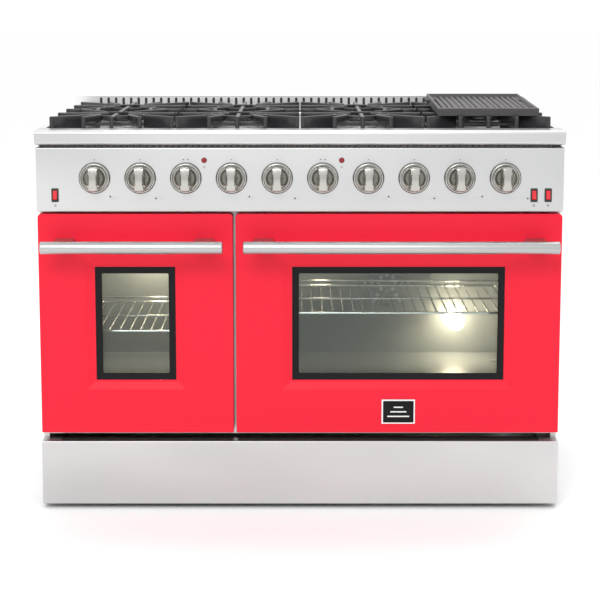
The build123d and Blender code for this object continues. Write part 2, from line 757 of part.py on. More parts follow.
# Convection fan: motor behind the insulation, shaft through both walls, blade behind its cover
motor_front = oven_back + sheet + insulation + 4
motor_depth = 50.0
cover_setback = oven_back - 40
blade_setback = oven_back - 30
with BuildPart() as fan_motor:
    with BuildSketch(facing(motor_front)):
        with Locations((fan_x, fan_z)):
            Circle(42)
    extrude(amount=-motor_depth)
    fillet(fan_motor.edges().filter_by(GeomType.CIRCLE), 4)
    with BuildSketch(facing(motor_front)):
        with Locations((fan_x, fan_z)):
            Circle(fan_shaft + running)
    extrude(amount=-motor_depth + 10, mode=Mode.SUBTRACT)
fan_motor.part.label = "fan_motor"
export_step(fan_motor.part, "parts/fan_motor.step")

with BuildPart() as fan_blade:
    hub = Plane(origin=(fan_x, y_at(blade_setback), fan_z), x_dir=(1, 0, 0), z_dir=(0, 1, 0))
    with BuildSketch(hub):
        Circle(fan_shaft)
    extrude(amount=motor_front - blade_setback + motor_depth - 14)
    with BuildSketch(hub):
        Circle(14)
        with PolarLocations(fan_radius / 2, 6):
            Rectangle(fan_radius - 6, 22)
    extrude(amount=2)
    with BuildSketch(hub):
        with PolarLocations(fan_radius - 12, 6):
            with Locations((0, 10)):
                Rectangle(26, 2)
    extrude(amount=16)
fan_blade.part.label = "fan_blade"
export_step(fan_blade.part, "parts/fan_blade.step")

cover_half = fan_radius + 30
with BuildPart() as fan_cover:
    with BuildSketch(facing(cover_setback)):
        with Locations((fan_x, fan_z)):
            RectangleRounded(2 * cover_half, 2 * cover_half, 18)
    extrude(amount=-sheet)
    with BuildSketch(facing(cover_setback)):
        with Locations((fan_x, fan_z)):
            for ring, holes in ((22, 8), (40, 14), (58, 20)):
                with PolarLocations(ring, holes):
                    Circle(5)
    extrude(amount=-sheet, mode=Mode.SUBTRACT)
    with BuildSketch(facing(cover_setback)):
        with Locations((fan_x, fan_z)):
            with GridLocations(2 * cover_half - 24, 2 * cover_half - 24, 2, 2):
                Circle(5)
    extrude(amount=cover_setback - oven_back)
fan_cover.part.label = "fan_cover"
export_step(fan_cover.part, "parts/fan_cover.step")

with BuildPart() as power_inlet:
    with BuildSketch(facing(body_depth - 1)):
        with Locations((gland_x, gas_z)):
            RegularPolygon(gland_radius + 6, 6)
            Circle(5, mode=Mode.SUBTRACT)
    extrude(amount=-(back_setback - body_depth + 1))
    with BuildSketch(facing(back_setback)):
        with Locations((gland_x, gas_z)):
            Circle(gland_radius - contact_gap)
            Circle(5, mode=Mode.SUBTRACT)
    extrude(amount=20)
power_inlet.part.label = "power_inlet"
export_step(power_inlet.part, "parts/power_inlet.step")

# ---------------------------------------------------------------- cooktop

burner_points = [(x, y_at(grate_front + row)) for x in grate_xs for row in burner_rows]
throat_radius = 20.0
igniter_radius = 3.0
igniter_offset = (0.0, burner_head_radius + 8)
with BuildPart() as cooktop_pan:
    pan_x = (-half, half)
    recess_x = (-half + pan_side, half - pan_side)
    recess_s = (rail_depth + 2, body_depth - pan_back)
    block(pan_x, (rail_depth, body_depth), (rail_bottom, rim_height))
    with BuildSketch(level(rim_height)):
        with Locations((0, y_at(sum(recess_s) / 2))):
            RectangleRounded(recess_x[1] - recess_x[0], recess_s[1] - recess_s[0], 12)
    extrude(amount=-pan_sink, mode=Mode.SUBTRACT)
    fillet(cooktop_pan.faces().filter_by(Plane.XY).sort_by(Axis.Z)[-2].edges(), 3)
    block(grow(pan_x, -sheet), (rail_depth + sheet, body_depth - sheet),
          (rail_bottom - 1, pan_floor - sheet), mode=Mode.SUBTRACT)
    with BuildSketch(level(rim_height)):
        with Locations(*burner_points):
            Circle(throat_radius + contact_gap)
        with Locations(*[(x + igniter_offset[0], y + igniter_offset[1]) for x, y in burner_points]):
            Circle(igniter_radius - 1 + contact_gap)
    extrude(amount=-pan_sink - 3 * sheet, mode=Mode.SUBTRACT)
cooktop_pan.part.label = "cooktop_pan"
export_step(cooktop_pan.part, "parts/cooktop_pan.step")

head_top = burner_top - 6.0
with BuildPart() as burner_heads:
    with BuildSketch(level(pan_floor)):
        with Locations(*burner_points):
            Circle(burner_head_radius + 3)
    extrude(amount=4)
    with BuildSketch(level(pan_floor)):
        with Locations(*burner_points):
            Circle(burner_head_radius)
    extrude(amount=pan_sink + head_top)
    with BuildSketch(level(pan_floor)):
        with Locations(*burner_points):
            Circle(throat_radius)
    extrude(amount=-pan_sink - 20)
    with BuildSketch(level(rim_height + head_top - 4)):
        for point in burner_points:
            with Locations(point):
                with PolarLocations(burner_head_radius, 24):
                    Rectangle(8, 2.4)
    extrude(amount=4, mode=Mode.SUBTRACT)
burner_heads.part.label = "burner_heads"
export_step(burner_heads.part, "parts/burner_heads.step")

with BuildPart() as burner_caps:
    with BuildSketch(level(rim_height + head_top)):
        with Locations(*burner_points):
            Circle(burner_cap_radius)
    extrude(amount=burner_top - head_top)
    fillet(burner_caps.edges().group_by(Axis.Z)[-1], 2.5)
burner_caps.part.label = "burner_caps"
export_step(burner_caps.part, "parts/burner_caps.step")

with BuildPart() as burner_igniters:
    with BuildSketch(level(pan_floor)):
        with Locations(*[(x + igniter_offset[0], y + igniter_offset[1]) for x, y in burner_points]):
            Circle(igniter_radius)
    extrude(amount=11)
    with BuildSketch(level(pan_floor)):
        with Locations(*[(x + igniter_offset[0], y + igniter_offset[1]) for x, y in burner_points]):
            Circle(igniter_radius - 1)
    extrude(amount=-22)
burner_igniters.part.label = "burner_igniters"
export_step(burner_igniters.part, "parts/burner_igniters.step")

with BuildPart() as back_guard:
    guard_s = (body_depth - guard_depth, body_depth)
    guard_z = (rim_height, rim_height + guard_height)
    block((-half, half), guard_s, guard_z)
    fillet(back_guard.edges().filter_by(Axis.X).group_by(Axis.Z)[-1], 2)
    block((-half + sheet, half - sheet), grow(guard_s, -sheet), (rim_height - 1, guard_z[1] - sheet),
          mode=Mode.SUBTRACT)
    with BuildSketch(facing(guard_s[0])):
        with Locations((0, rim_height + 21.5)):
            with GridLocations(slot_pitch, 0, slot_count, 1):
                SlotOverall(slot_size[1], slot_size[0], rotation=90)
    extrude(amount=-sheet, mode=Mode.SUBTRACT)
back_guard.part.label = "back_guard"
export_step(back_guard.part, "parts/back_guard.step")

# Grate bars, as ends in one quarter's terms: across from the grate's middle, back from its front
edge_u = grate_width / 2 - bar_width / 2
first_v = bar_width / 2
last_v = grate_depth - bar_width / 2
middle_v = sum(burner_rows) / 2
post_u = 66.0
wall_u = 72.0               # inner end of the full-height walls from the corners
wall_depth = 66.0
tip = 30.0
fork_u = 108.0
grate_half_bars = [
    [(edge_u, burner_rows[0]), (tip, burner_rows[0])],
    [(edge_u, burner_rows[1]), (tip, burner_rows[1])],
    [(edge_u, first_v), (wall_u, wall_depth)],
    [(wall_u, wall_depth), (38, burner_rows[0] - 40)],
    [(edge_u, last_v), (wall_u, grate_depth - wall_depth)],
    [(wall_u, grate_depth - wall_depth), (38, burner_rows[1] + 40)],
    [(post_u, first_v), (34, burner_rows[0] - 56)],
    [(post_u, last_v), (34, burner_rows[1] + 56)],
    [(edge_u, middle_v), (fork_u, middle_v)],
    [(fork_u, middle_v), (34, burner_rows[0] + 46)],
    [(fork_u, middle_v), (34, burner_rows[1] - 46)],
    [(post_u, middle_v - 28), (post_u, middle_v + 28)],
]
grate_middle_bars = [
    [(0, first_v), (0, burner_rows[0] - 22)],
    [(0, burner_rows[0] + 30), (0, burner_rows[1] - 30)],
    [(0, burner_rows[1] + 22), (0, last_v)],
]
arc_radius = 66.0
low_bar = (4.0, 12.0)       # low frame above the pan's floor
tie_bar = (-1.0, 8.5)       # bar between the walls, above the rim
grate_rest = pan_floor + body_gap

for number, x in enumerate(grate_xs, start=1):
    base_y = y_at(grate_front)
    full_bars = list(grate_middle_bars)
    for (u0, v0), (u1, v1) in grate_half_bars:
        full_bars.append([(u0, v0), (u1, v1)])
        full_bars.append([(-u0, v0), (-u1, v1)])
    with BuildPart() as grate:
        with BuildSketch(level(rim_height + grate_top - bar_height)):
            for (u0, v0), (u1, v1) in full_bars:
                with BuildLine():
                    Line((x + u0, base_y + v0), (x + u1, base_y + v1))
                trace(line_width=bar_width)
            for row in burner_rows:
                for middle in (0, 90, 180, 270):
                    with BuildLine():
                        CenterArc((x, base_y + row), arc_radius, middle + 45 - 42, 84)
                    trace(line_width=bar_width - 2)
        extrude(amount=bar_height)
        with BuildSketch(level(grate_rest + low_bar[0])):
            with Locations((x, base_y + grate_depth / 2)):
                Rectangle(grate_width, bar_width)
            with Locations((x - edge_u, base_y + grate_depth / 2), (x + edge_u, base_y + grate_depth / 2)):
                Rectangle(bar_width, grate_depth)
        extrude(amount=low_bar[1] - low_bar[0])
        with BuildSketch(level(rim_height + tie_bar[0])):
            with Locations((x, base_y + wall_depth), (x, base_y + grate_depth - wall_depth)):
                Rectangle(2 * wall_u, bar_width)
        extrude(amount=tie_bar[1] - tie_bar[0])
        with BuildSketch(level(grate_rest + low_bar[0])):
            for side in (-1, 1):
                for corner_v, wall_v in ((first_v, wall_depth), (last_v, grate_depth - wall_depth)):
                    with BuildLine():
                        Line((x + side * edge_u, base_y + corner_v), (x + side * wall_u, base_y + wall_v))
                    trace(line_width=bar_width - 1)
        extrude(amount=rim_height + grate_top - grate_rest - low_bar[0] - 1)
        post_us = (-edge_u, -post_u, 0, post_u, edge_u)
        with BuildSketch(level(grate_rest)):
            with Locations(*[(x + u, base_y + v) for u in post_us for v in (first_v, last_v)]):
                Rectangle(post_width, bar_width)
            with Locations(*[(x + u, base_y + v) for u in (-edge_u, edge_u)
                             for v in (burner_rows[0], middle_v, burner_rows[1])]):
                Rectangle(bar_width, post_width)
            with Locations((x - post_u, base_y + middle_v), (x + post_u, base_y + middle_v)):
                Rectangle(bar_width, bar_width)
        extrude(amount=rim_height + grate_top - grate_rest - 1)
    grate.part.label = f"grate_{number}"
    export_step(grate.part, f"parts/grate_{number}.step")

# The griddle lies on the right-hand grate, higher at its back so that it drains forward
griddle_rest = rim_height + grate_top + body_gap
griddle_plane = Plane(
    origin=(grate_xs[3] + 2.4, y_at(griddle_front), griddle_rest),
    x_dir=(1, 0, 0),
    z_dir=(0, -sin(radians(griddle_tilt)), cos(radians(griddle_tilt))),
)
griddle_x, griddle_y, griddle_z = griddle_size
upright = (Align.CENTER, Align.MIN, Align.MIN)
ear_radius = 26.0
with BuildPart(griddle_plane) as griddle:
    Box(griddle_x, griddle_y, griddle_z, align=upright)
    fillet(griddle.edges().filter_by(lambda edge: abs((edge % 0).Z) > 0.9), 12)
    with Locations((0, griddle_rim, griddle_floor)):
        Box(griddle_x - 2 * griddle_rim, griddle_y - 2 * griddle_rim, griddle_z, align=upright,
            mode=Mode.SUBTRACT)
    ridge_pitch = (griddle_x - 2 * griddle_rim) / (ridge_count + 1)
    with Locations((0, griddle_rim + 22, griddle_floor)):
        with GridLocations(ridge_pitch, 0, ridge_count, 1):
            Box(ridge_pitch * 0.45, griddle_y - 2 * griddle_rim - 30, 5, align=upright)
    for ear_x in (-griddle_x / 2, griddle_x / 2):
        with Locations((ear_x * 0.86, griddle_y - 62, 6)):
            Cylinder(ear_radius, 9, align=(Align.CENTER, Align.CENTER, Align.MIN))
    foot_drop = griddle_y * sin(radians(griddle_tilt)) - 0.6
    griddle_foot_x = griddle_x / 2 - 30
    with Locations((-griddle_foot_x, griddle_y - 14, -foot_drop), (griddle_foot_x, griddle_y - 14, -foot_drop)):
        Cylinder(8, foot_drop + 1, align=(Align.CENTER, Align.CENTER, Align.MIN))
griddle.part.label = "griddle"
export_step(griddle.part, "parts/griddle.step")
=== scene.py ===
from math import radians

import bmesh
import bpy
import numpy as np
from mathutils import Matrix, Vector


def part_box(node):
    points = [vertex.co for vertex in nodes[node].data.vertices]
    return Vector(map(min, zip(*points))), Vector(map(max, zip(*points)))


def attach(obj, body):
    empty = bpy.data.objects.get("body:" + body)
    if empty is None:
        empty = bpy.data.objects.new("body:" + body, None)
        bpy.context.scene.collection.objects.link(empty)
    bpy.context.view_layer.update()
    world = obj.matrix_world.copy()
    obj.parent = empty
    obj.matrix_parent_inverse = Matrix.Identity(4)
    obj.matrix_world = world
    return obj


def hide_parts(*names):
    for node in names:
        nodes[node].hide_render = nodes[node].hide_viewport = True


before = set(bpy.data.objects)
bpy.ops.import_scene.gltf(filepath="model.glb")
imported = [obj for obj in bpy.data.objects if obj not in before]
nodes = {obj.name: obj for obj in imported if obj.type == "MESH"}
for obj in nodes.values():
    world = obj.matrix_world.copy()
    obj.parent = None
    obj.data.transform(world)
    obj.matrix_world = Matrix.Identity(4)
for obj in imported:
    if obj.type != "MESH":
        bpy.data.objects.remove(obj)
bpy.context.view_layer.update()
mm = 0.001
tau = 2 * np.pi


# how grids become meshes

def gridFaces(rows, cols, roundCols=False):
    # quads between neighbouring points of a grid, joined round along its columns if asked
    lastCol = cols if roundCols else cols - 1
    row, col = np.meshgrid(np.arange(rows - 1), np.arange(lastCol), indexing="ij")
    nextCol = (col + 1) % cols
    quads = np.stack([row * cols + col, row * cols + nextCol,
                      (row + 1) * cols + nextCol, (row + 1) * cols + col], axis=-1)
    return quads.reshape(-1, 4)


def surface(points, roundCols=False):
    # a grid of points (rows, cols, 3) with its quads
    rows, cols = points.shape[:2]
    return points.reshape(-1, 3), gridFaces(rows, cols, roundCols)


def makePiece(name, surfaces, material, body, replaces=(), sharp=32, paintedShadeOf=None):
    # joins surfaces into one mesh, closes its poles, turns its faces outwards and puts it on a body;
    # the optional shade function gives each corner a painted-shade value that its material darkens by
    corners, faces, base = [], [], 0
    for points, quads in surfaces:
        corners.append(points)
        faces.append(quads + base)
        base += len(points)
    mesh = bpy.data.meshes.new(name)
    mesh.from_pydata(np.vstack(corners).tolist(), [], np.vstack(faces).tolist())
    shell = bmesh.new()
    shell.from_mesh(mesh)
    bmesh.ops.remove_doubles(shell, verts=shell.verts, dist=1e-6)
    bmesh.ops.dissolve_degenerate(shell, edges=shell.edges, dist=1e-7)
    bmesh.ops.recalc_face_normals(shell, faces=shell.faces)
    shell.to_mesh(mesh)
    shell.free()
    mesh.polygons.foreach_set("use_smooth", np.ones(len(mesh.polygons), bool))
    mesh.set_sharp_from_angle(angle=radians(sharp))
    if paintedShadeOf:
        places = np.empty(3 * len(mesh.vertices))
        mesh.vertices.foreach_get("co", places)
        paintedShade = mesh.attributes.new("paintedShade", "FLOAT", "POINT")
        paintedShade.data.foreach_set("value", paintedShadeOf(places.reshape(-1, 3)).astype(np.float32))
    piece = bpy.data.objects.new(name, mesh)
    bpy.context.scene.collection.objects.link(piece)
    mesh.materials.append(material)
    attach(piece, body)
    if replaces:
        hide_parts(*replaces)
    return piece


def turned(profile, centre, axis, steps=64):
    # a profile of (radius, height) pairs turned once round an axis through the centre
    axis = np.array(axis, float)
    side = np.cross(axis, (0.31, 0.52, 0.79))
    side /= np.linalg.norm(side)
    other = np.cross(axis, side)
    angle = np.linspace(0, tau, steps, endpoint=False)
    ring = np.cos(angle)[:, None] * side + np.sin(angle)[:, None] * other
    profile = np.array(profile, float)
    points = (np.array(centre, float) + profile[:, 0, None, None] * ring[None]
              + profile[:, 1, None, None] * axis)
    return surface(points, roundCols=True)


def roundedOutline(width, height, radius, perCorner=4):
    # a rectangle with quarter-circle corners, anticlockwise, centred on zero
    quarter = np.linspace(0, np.pi / 2, perCorner)
    parts = []
    for turn, (x, y) in enumerate([(1, 1), (-1, 1), (-1, -1), (1, -1)]):
        angle = quarter + turn * np.pi / 2
        parts.append(np.stack([x * (width / 2 - radius) + radius * np.cos(angle),
                               y * (height / 2 - radius) + radius * np.sin(angle)], axis=-1))
    return np.vstack(parts)


def carried(path, outline, up=(0, 0, 1), endRound=0.0, growth=None):
    # an outline carried along a path: each ring is the path's point plus the outline across and up;
    # both ends shrink over endRound to a point, so the bar is closed
    path = np.array(path, float)
    up = np.array(up, float)
    along = np.gradient(path, axis=0)
    along /= np.linalg.norm(along, axis=1)[:, None]
    if endRound:
        inner = 1 - endRound / max(np.ptp(outline, axis=0).max() / 2, 1e-9)
        path = np.vstack([path[:1], path[:1], path[:1] + along[:1] * endRound, path[1:-1],
                          path[-1:] - along[-1:] * endRound, path[-1:], path[-1:]])
        along = np.vstack([along[:1], along[:1], along, along[-1:], along[-1:]])
        size = np.ones(len(path))
        size[[0, -1]] = 0
        size[[1, -2]] = max(inner, 0.3)
    else:
        path = np.vstack([path[:1], path, path[-1:]])
        along = np.vstack([along[:1], along, along[-1:]])
        size = np.ones(len(path))
        size[[0, -1]] = 0
    if growth is not None:
        size[1:-1] *= growth
    across = np.cross(along, up)
    across /= np.linalg.norm(across, axis=1)[:, None]
    rise = np.cross(across, along)
    middle = outline.mean(axis=0)
    shape = middle + (outline - middle) * size[:, None, None]
    points = path[:, None] + shape[..., :1] * across[:, None] + shape[..., 1:] * rise[:, None]
    return surface(points, roundCols=True)


def straight(start, end, count=2):
    return np.linspace(start, end, count)


def slab(width, height, depth, centre, radius, edge, facing="front"):
    # a rounded rectangle with softened front edges: rings of its outline from back to front
    low = np.array([(1.0, 0.0), (1.0, depth - edge), (0.7, depth - edge * 0.3), (0.0, depth)])
    rings = []
    for keep, rise in [(None, 0.0), *low.tolist()]:
        if keep is None:
            outline = np.zeros((16, 2))
        else:
            inset = edge * (1 - keep)
            outline = roundedOutline(width - 2 * inset, height - 2 * inset, max(radius - inset, 0.05 * mm))
        rings.append((outline, rise))
    rings.append((np.zeros((16, 2)), depth))
    points = []
    for outline, rise in rings:
        if facing == "front":
            ring = np.stack([outline[:, 0], np.full(16, -rise), outline[:, 1]], axis=-1)
        else:
            ring = np.stack([outline[:, 0], outline[:, 1], np.full(16, rise)], axis=-1)
        points.append(ring + np.array(centre))
    return surface(np.array(points), roundCols=True)


def middleOf(node):
    low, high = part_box(node)
    return (low + high) / 2


# materials

def startMaterial(name, colour, rough, metal=0.0, coat=0.0):
    material = bpy.data.materials.new(name)
    material.use_nodes = True
    tree = material.node_tree
    shader = tree.nodes["Principled BSDF"]
    shader.inputs["Base Color"].default_value = (*colour, 1)
    shader.inputs["Roughness"].default_value = rough
    shader.inputs["Metallic"].default_value = metal
    shader.inputs["Coat Weight"].default_value = coat
    shader.inputs["Coat Roughness"].default_value = 0.08
    material.diffuse_color = (*colour, 1)
    return material, tree, shader


def patternNoise(tree, scale, stretch=(1, 1, 1), detail=2.0, roughness=0.5):
    # noise on the object's own coordinates, squeezed along each axis by the stretch
    place = tree.nodes.new("ShaderNodeTexCoord")
    squeeze = tree.nodes.new("ShaderNodeMapping")
    squeeze.inputs["Scale"].default_value = stretch
    noise = tree.nodes.new("ShaderNodeTexNoise")
    noise.inputs["Scale"].default_value = scale
    noise.inputs["Detail"].default_value = detail
    noise.inputs["Roughness"].default_value = roughness
    tree.links.new(place.outputs["Object"], squeeze.inputs["Vector"])
    tree.links.new(squeeze.outputs["Vector"], noise.inputs["Vector"])
    return noise.outputs["Fac"]


def spread(tree, value, low, high, fromLow=0.3, fromHigh=0.7):
    # stretches a noise value to lie between two limits
    limits = tree.nodes.new("ShaderNodeMapRange")
    limits.inputs["From Min"].default_value = fromLow
    limits.inputs["From Max"].default_value = fromHigh
    limits.inputs["To Min"].default_value = low
    limits.inputs["To Max"].default_value = high
    tree.links.new(value, limits.inputs["Value"])
    return limits.outputs["Result"]


def tint(tree, shader, value, dark, light):
    # base colour between two colours, by a noise value
    ramp = tree.nodes.new("ShaderNodeValToRGB")
    ramp.color_ramp.elements[0].position = 0.3
    ramp.color_ramp.elements[1].position = 0.7
    ramp.color_ramp.elements[0].color = (*dark, 1)
    ramp.color_ramp.elements[1].color = (*light, 1)
    tree.links.new(value, ramp.inputs["Fac"])
    tree.links.new(ramp.outputs["Color"], shader.inputs["Base Color"])


def bumps(tree, shader, value, strength, distance):
    bump = tree.nodes.new("ShaderNodeBump")
    bump.inputs["Strength"].default_value = strength
    bump.inputs["Distance"].default_value = distance
    tree.links.new(value, bump.inputs["Height"])
    tree.links.new(bump.outputs["Normal"], shader.inputs["Normal"])


def brushedMetal(name, dark, light, roughLow, roughHigh, grain=(3, 420, 420), strength=0.06):
    # long fine scratches along X, with a slow change of tone over the sheet
    material, tree, shader = startMaterial(name, light, (roughLow + roughHigh) / 2, metal=1.0)
    scratches = patternNoise(tree, 1.0, grain, detail=4.0, roughness=0.65)
    tree.links.new(spread(tree, scratches, roughLow, roughHigh), shader.inputs["Roughness"])
    bumps(tree, shader, scratches, strength, 0.0004)
    tint(tree, shader, patternNoise(tree, 2.2, (1, 1, 2.5), detail=1.0), dark, light)
    return material


def speckled(name, dark, light, rough, scale, strength, distance, coat=0.0, metal=0.0, detail=3.0, gloss=0.5):
    # small grains of tone and height, for castings, enamel and moulded plastic
    material, tree, shader = startMaterial(name, light, rough, metal=metal, coat=coat)
    shader.inputs["Specular IOR Level"].default_value = gloss
    grains = patternNoise(tree, scale, detail=detail)
    tint(tree, shader, grains, dark, light)
    bumps(tree, shader, grains, strength, distance)
    tree.links.new(spread(tree, patternNoise(tree, scale / 3), rough - 0.03, rough + 0.03),
                   shader.inputs["Roughness"])
    return material


def metalWithPaintedShade(name, bright, dark, roughLow, roughHigh, grain):
    # turned metal with painted shade: it goes from bright to dark by the painted-shade value of its corners
    material, tree, shader = startMaterial(name, bright, roughLow, metal=1.0)
    scratches = patternNoise(tree, 1.0, grain, detail=3.0)
    tree.links.new(spread(tree, scratches, roughLow, roughHigh), shader.inputs["Roughness"])
    bumps(tree, shader, scratches, 0.04, 0.0003)
    paintedShade = tree.nodes.new("ShaderNodeAttribute")
    paintedShade.attribute_name = "paintedShade"
    ramp = tree.nodes.new("ShaderNodeValToRGB")
    ramp.color_ramp.elements[0].color = (*bright, 1)
    ramp.color_ramp.elements[1].color = (*dark, 1)
    tree.links.new(paintedShade.outputs["Fac"], ramp.inputs["Fac"])
    tree.links.new(ramp.outputs["Color"], shader.inputs["Base Color"])
    return material


def clearGlass():
    material, tree, shader = startMaterial("windowGlass", (0.93, 0.97, 0.95), 0.02)
    shader.inputs["Transmission Weight"].default_value = 1.0
    shader.inputs["IOR"].default_value = 1.25
    smears = patternNoise(tree, 9.0, (1, 1, 0.6), detail=3.0)
    tree.links.new(spread(tree, smears, 0.01, 0.07), shader.inputs["Roughness"])
    return material


def glowing(name, colour, strength, rough=0.4):
    material, tree, shader = startMaterial(name, colour, rough)
    shader.inputs["Emission Color"].default_value = (*colour, 1)
    shader.inputs["Emission Strength"].default_value = strength
    frosting = patternNoise(tree, 60.0)
    tree.links.new(spread(tree, frosting, rough - 0.1, rough + 0.1), shader.inputs["Roughness"])
    return material


print("materials")
steel = brushedMetal("brushedSteel", (0.55, 0.556, 0.556), (0.63, 0.634, 0.63), 0.30, 0.42, strength=0.03)
rubbed = brushedMetal("guardSteel", (0.80, 0.80, 0.79), (0.86, 0.86, 0.85), 0.34, 0.46, strength=0.03)
finMetal = speckled("finMetal", (0.16, 0.15, 0.145), (0.24, 0.23, 0.22), 0.4, 200.0, 0.1, 0.0002, metal=0.6)
panSteel = brushedMetal("panSteel", (0.70, 0.71, 0.72), (0.80, 0.80, 0.80), 0.10, 0.22, (3, 300, 300), 0.03)
# the knob steel's darker colour is painted shade, mixed in by each corner's painted-shade value
knobSteel = metalWithPaintedShade("knobSteel", (0.46, 0.45, 0.42), (0.20, 0.19, 0.17), 0.16, 0.28, (500, 500, 4))
# the bezel steel's darker colour is painted shade, mixed in by each corner's painted-shade value
bezelSteel = metalWithPaintedShade("bezelSteel", (0.52, 0.51, 0.485), (0.085, 0.078, 0.068), 0.14, 0.26, (200, 200, 200))
barSteel = brushedMetal("barSteel", (0.42, 0.425, 0.425), (0.49, 0.495, 0.495), 0.30, 0.42,
                        (4, 300, 300), 0.03)
zincSheet = speckled("zincSheet", (0.40, 0.41, 0.42), (0.55, 0.56, 0.57), 0.42, 45.0, 0.1, 0.0004,
                     metal=0.9)
redEnamel = speckled("redEnamel", (0.72, 0.0045, 0.026), (0.735, 0.005, 0.028), 0.42, 900.0, 0.01,
                     0.0001, gloss=0.3)
ovenEnamel = speckled("ovenEnamel", (0.185, 0.205, 0.21), (0.235, 0.255, 0.26), 0.36, 260.0, 0.06,
                      0.0004, coat=0.1)
castIron = speckled("castIron", (0.012, 0.0115, 0.0135), (0.026, 0.0245, 0.028), 0.34, 520.0, 0.12,
                    0.0004, gloss=0.6)
griddleIron = speckled("griddleIron", (0.030, 0.026, 0.028), (0.060, 0.052, 0.056), 0.42, 460.0,
                       0.25, 0.0005)
capEnamel = speckled("capEnamel", (0.010, 0.010, 0.011), (0.022, 0.022, 0.024), 0.34, 400.0, 0.15,
                     0.0003, coat=0.2)
burnerMetal = speckled("burnerMetal", (0.62, 0.61, 0.58), (0.78, 0.77, 0.74), 0.30, 300.0, 0.25,
                       0.0004, metal=1.0)
# dark sheet metal for the vent strip and oven burners, also used for the painted shadow sheets behind the
# guard's slots and on the kick plate
darkSheetAndShadow = speckled("darkSheetAndShadow", (0.016, 0.016, 0.016), (0.035, 0.034, 0.033), 0.45, 300.0, 0.2, 0.0003)
pipeBlack = speckled("pipeBlack", (0.03, 0.03, 0.03), (0.07, 0.068, 0.066), 0.5, 180.0, 0.3, 0.0005)
brass = speckled("valveBrass", (0.55, 0.38, 0.13), (0.72, 0.53, 0.22), 0.30, 200.0, 0.1, 0.0003, metal=1.0)
chromeWire = speckled("chromeWire", (0.66, 0.66, 0.66), (0.80, 0.80, 0.80), 0.18, 150.0, 0.05,
                      0.0002, metal=1.0)
gasketWeave = speckled("gasketWeave", (0.03, 0.03, 0.03), (0.09, 0.088, 0.085), 0.85, 700.0, 0.8, 0.001)
mineralWool = speckled("mineralWool", (0.62, 0.56, 0.38), (0.86, 0.80, 0.62), 0.95, 220.0, 0.9, 0.003)
blackPlastic = speckled("blackPlastic", (0.010, 0.010, 0.010), (0.020, 0.020, 0.020), 0.28, 600.0,
                        0.08, 0.0002, coat=0.2)
redPlastic = speckled("redPlastic", (0.55, 0.004, 0.012), (0.72, 0.010, 0.020), 0.25, 500.0, 0.04,
                      0.0002, coat=0.4)
redLens = glowing("redLens", (0.20, 0.004, 0.012), 0.05, 0.25)
lampGlow = glowing("lampGlow", (1.0, 0.88, 0.68), 14.0)
ceramic = speckled("igniterCeramic", (0.80, 0.78, 0.74), (0.90, 0.88, 0.85), 0.25, 260.0, 0.05,
                   0.0002, coat=0.4)
printInk = speckled("printInk", (0.035, 0.035, 0.037), (0.06, 0.06, 0.062), 0.55, 900.0, 0.05, 0.0001)
paleInk = speckled("paleInk", (0.42, 0.43, 0.44), (0.50, 0.51, 0.52), 0.55, 900.0, 0.05, 0.0001)
blackBorder = speckled("blackBorder", (0.006, 0.006, 0.007), (0.010, 0.0095, 0.011), 0.22, 500.0,
                       0.02, 0.0001, gloss=0.12)
badgeRim = brushedMetal("badgeRim", (0.74, 0.74, 0.74), (0.84, 0.84, 0.84), 0.16, 0.28)
windowGlass = clearGlass()

cadFinish = {
    "side_panels": steel, "kick_plate": steel, "front_frame": steel, "front_rail": steel,
    "control_panel": steel, "cooktop_pan": panSteel, "back_guard": rubbed, "vent_strip": darkSheetAndShadow,
    "back_panel": zincSheet, "base_pan": zincSheet, "levelling_legs": zincSheet, "hinge_brackets": zincSheet,
    "fan_motor": zincSheet, "fan_blade": zincSheet, "fan_cover": ovenEnamel, "oven_burners": darkSheetAndShadow,
    "left_oven_liner": ovenEnamel, "right_oven_liner": ovenEnamel, "left_door_liner": ovenEnamel,
    "right_door_liner": ovenEnamel, "left_door_skin": redEnamel, "right_door_skin": redEnamel,
    "left_door_glass": windowGlass, "right_door_glass": windowGlass, "door_gaskets": gasketWeave,
    "oven_insulation": mineralWool, "oven_lamps": lampGlow, "rack_guides": chromeWire,
    "left_oven_rack": chromeWire, "right_oven_rack": chromeWire, "gas_manifold": pipeBlack,
    "gas_valves": brass, "power_inlet": blackPlastic, "switch_frames": blackPlastic,
    "indicator_lamps": redLens, "burner_igniters": ceramic, "badge": badgeRim,
    "rocker_1": redPlastic, "rocker_2": redPlastic, "rocker_3": redPlastic,
    "burner_heads": burnerMetal, "burner_caps": capEnamel, "knob_bezels": bezelSteel,
    "griddle": griddleIron,
}
for name, node in nodes.items():
    finish = cadFinish.get(name)
    if finish is None:
        finish = castIron if name.startswith("grate") else knobSteel if name.startswith("knob") else barSteel
    node.data.materials.clear()
    node.data.materials.append(finish)

# knobs: columns of constant X keep the grip's edges straight
knob = {"gripWidth": 27.0 * mm, "gripTaper": 6.4 * mm, "edge": 1.6 * mm, "skirt": 12.0 * mm,
        "dish": 3.0 * mm, "crown": 4.4 * mm, "roundOver": 2.4 * mm}


def easeStep(value):
    # rises from 0 to 1 with level ends
    value = np.clip(value, 0, 1)
    return value * value * (3 - 2 * value)


def gripEdge(z, radius):
    # half the grip's width: narrowest at the middle of its length
    return knob["gripWidth"] / 2 - knob["gripTaper"] / 2 * (1 - (z / radius) ** 2)


def knobPaintedShade(points, low, high):
    # painted shade: dark in the recessed dish beside the grip, none on the grip and on the outer rim
    radius = (high.x - low.x) / 2
    x, z = points[:, 0] - (low.x + high.x) / 2, points[:, 2] - (low.z + high.z) / 2
    beside = easeStep((np.abs(x) - gripEdge(z, radius) - 0.2 * mm) / (1.2 * mm))
    return beside * easeStep((radius - np.hypot(x, z) - 1.0 * mm) / (1.6 * mm))


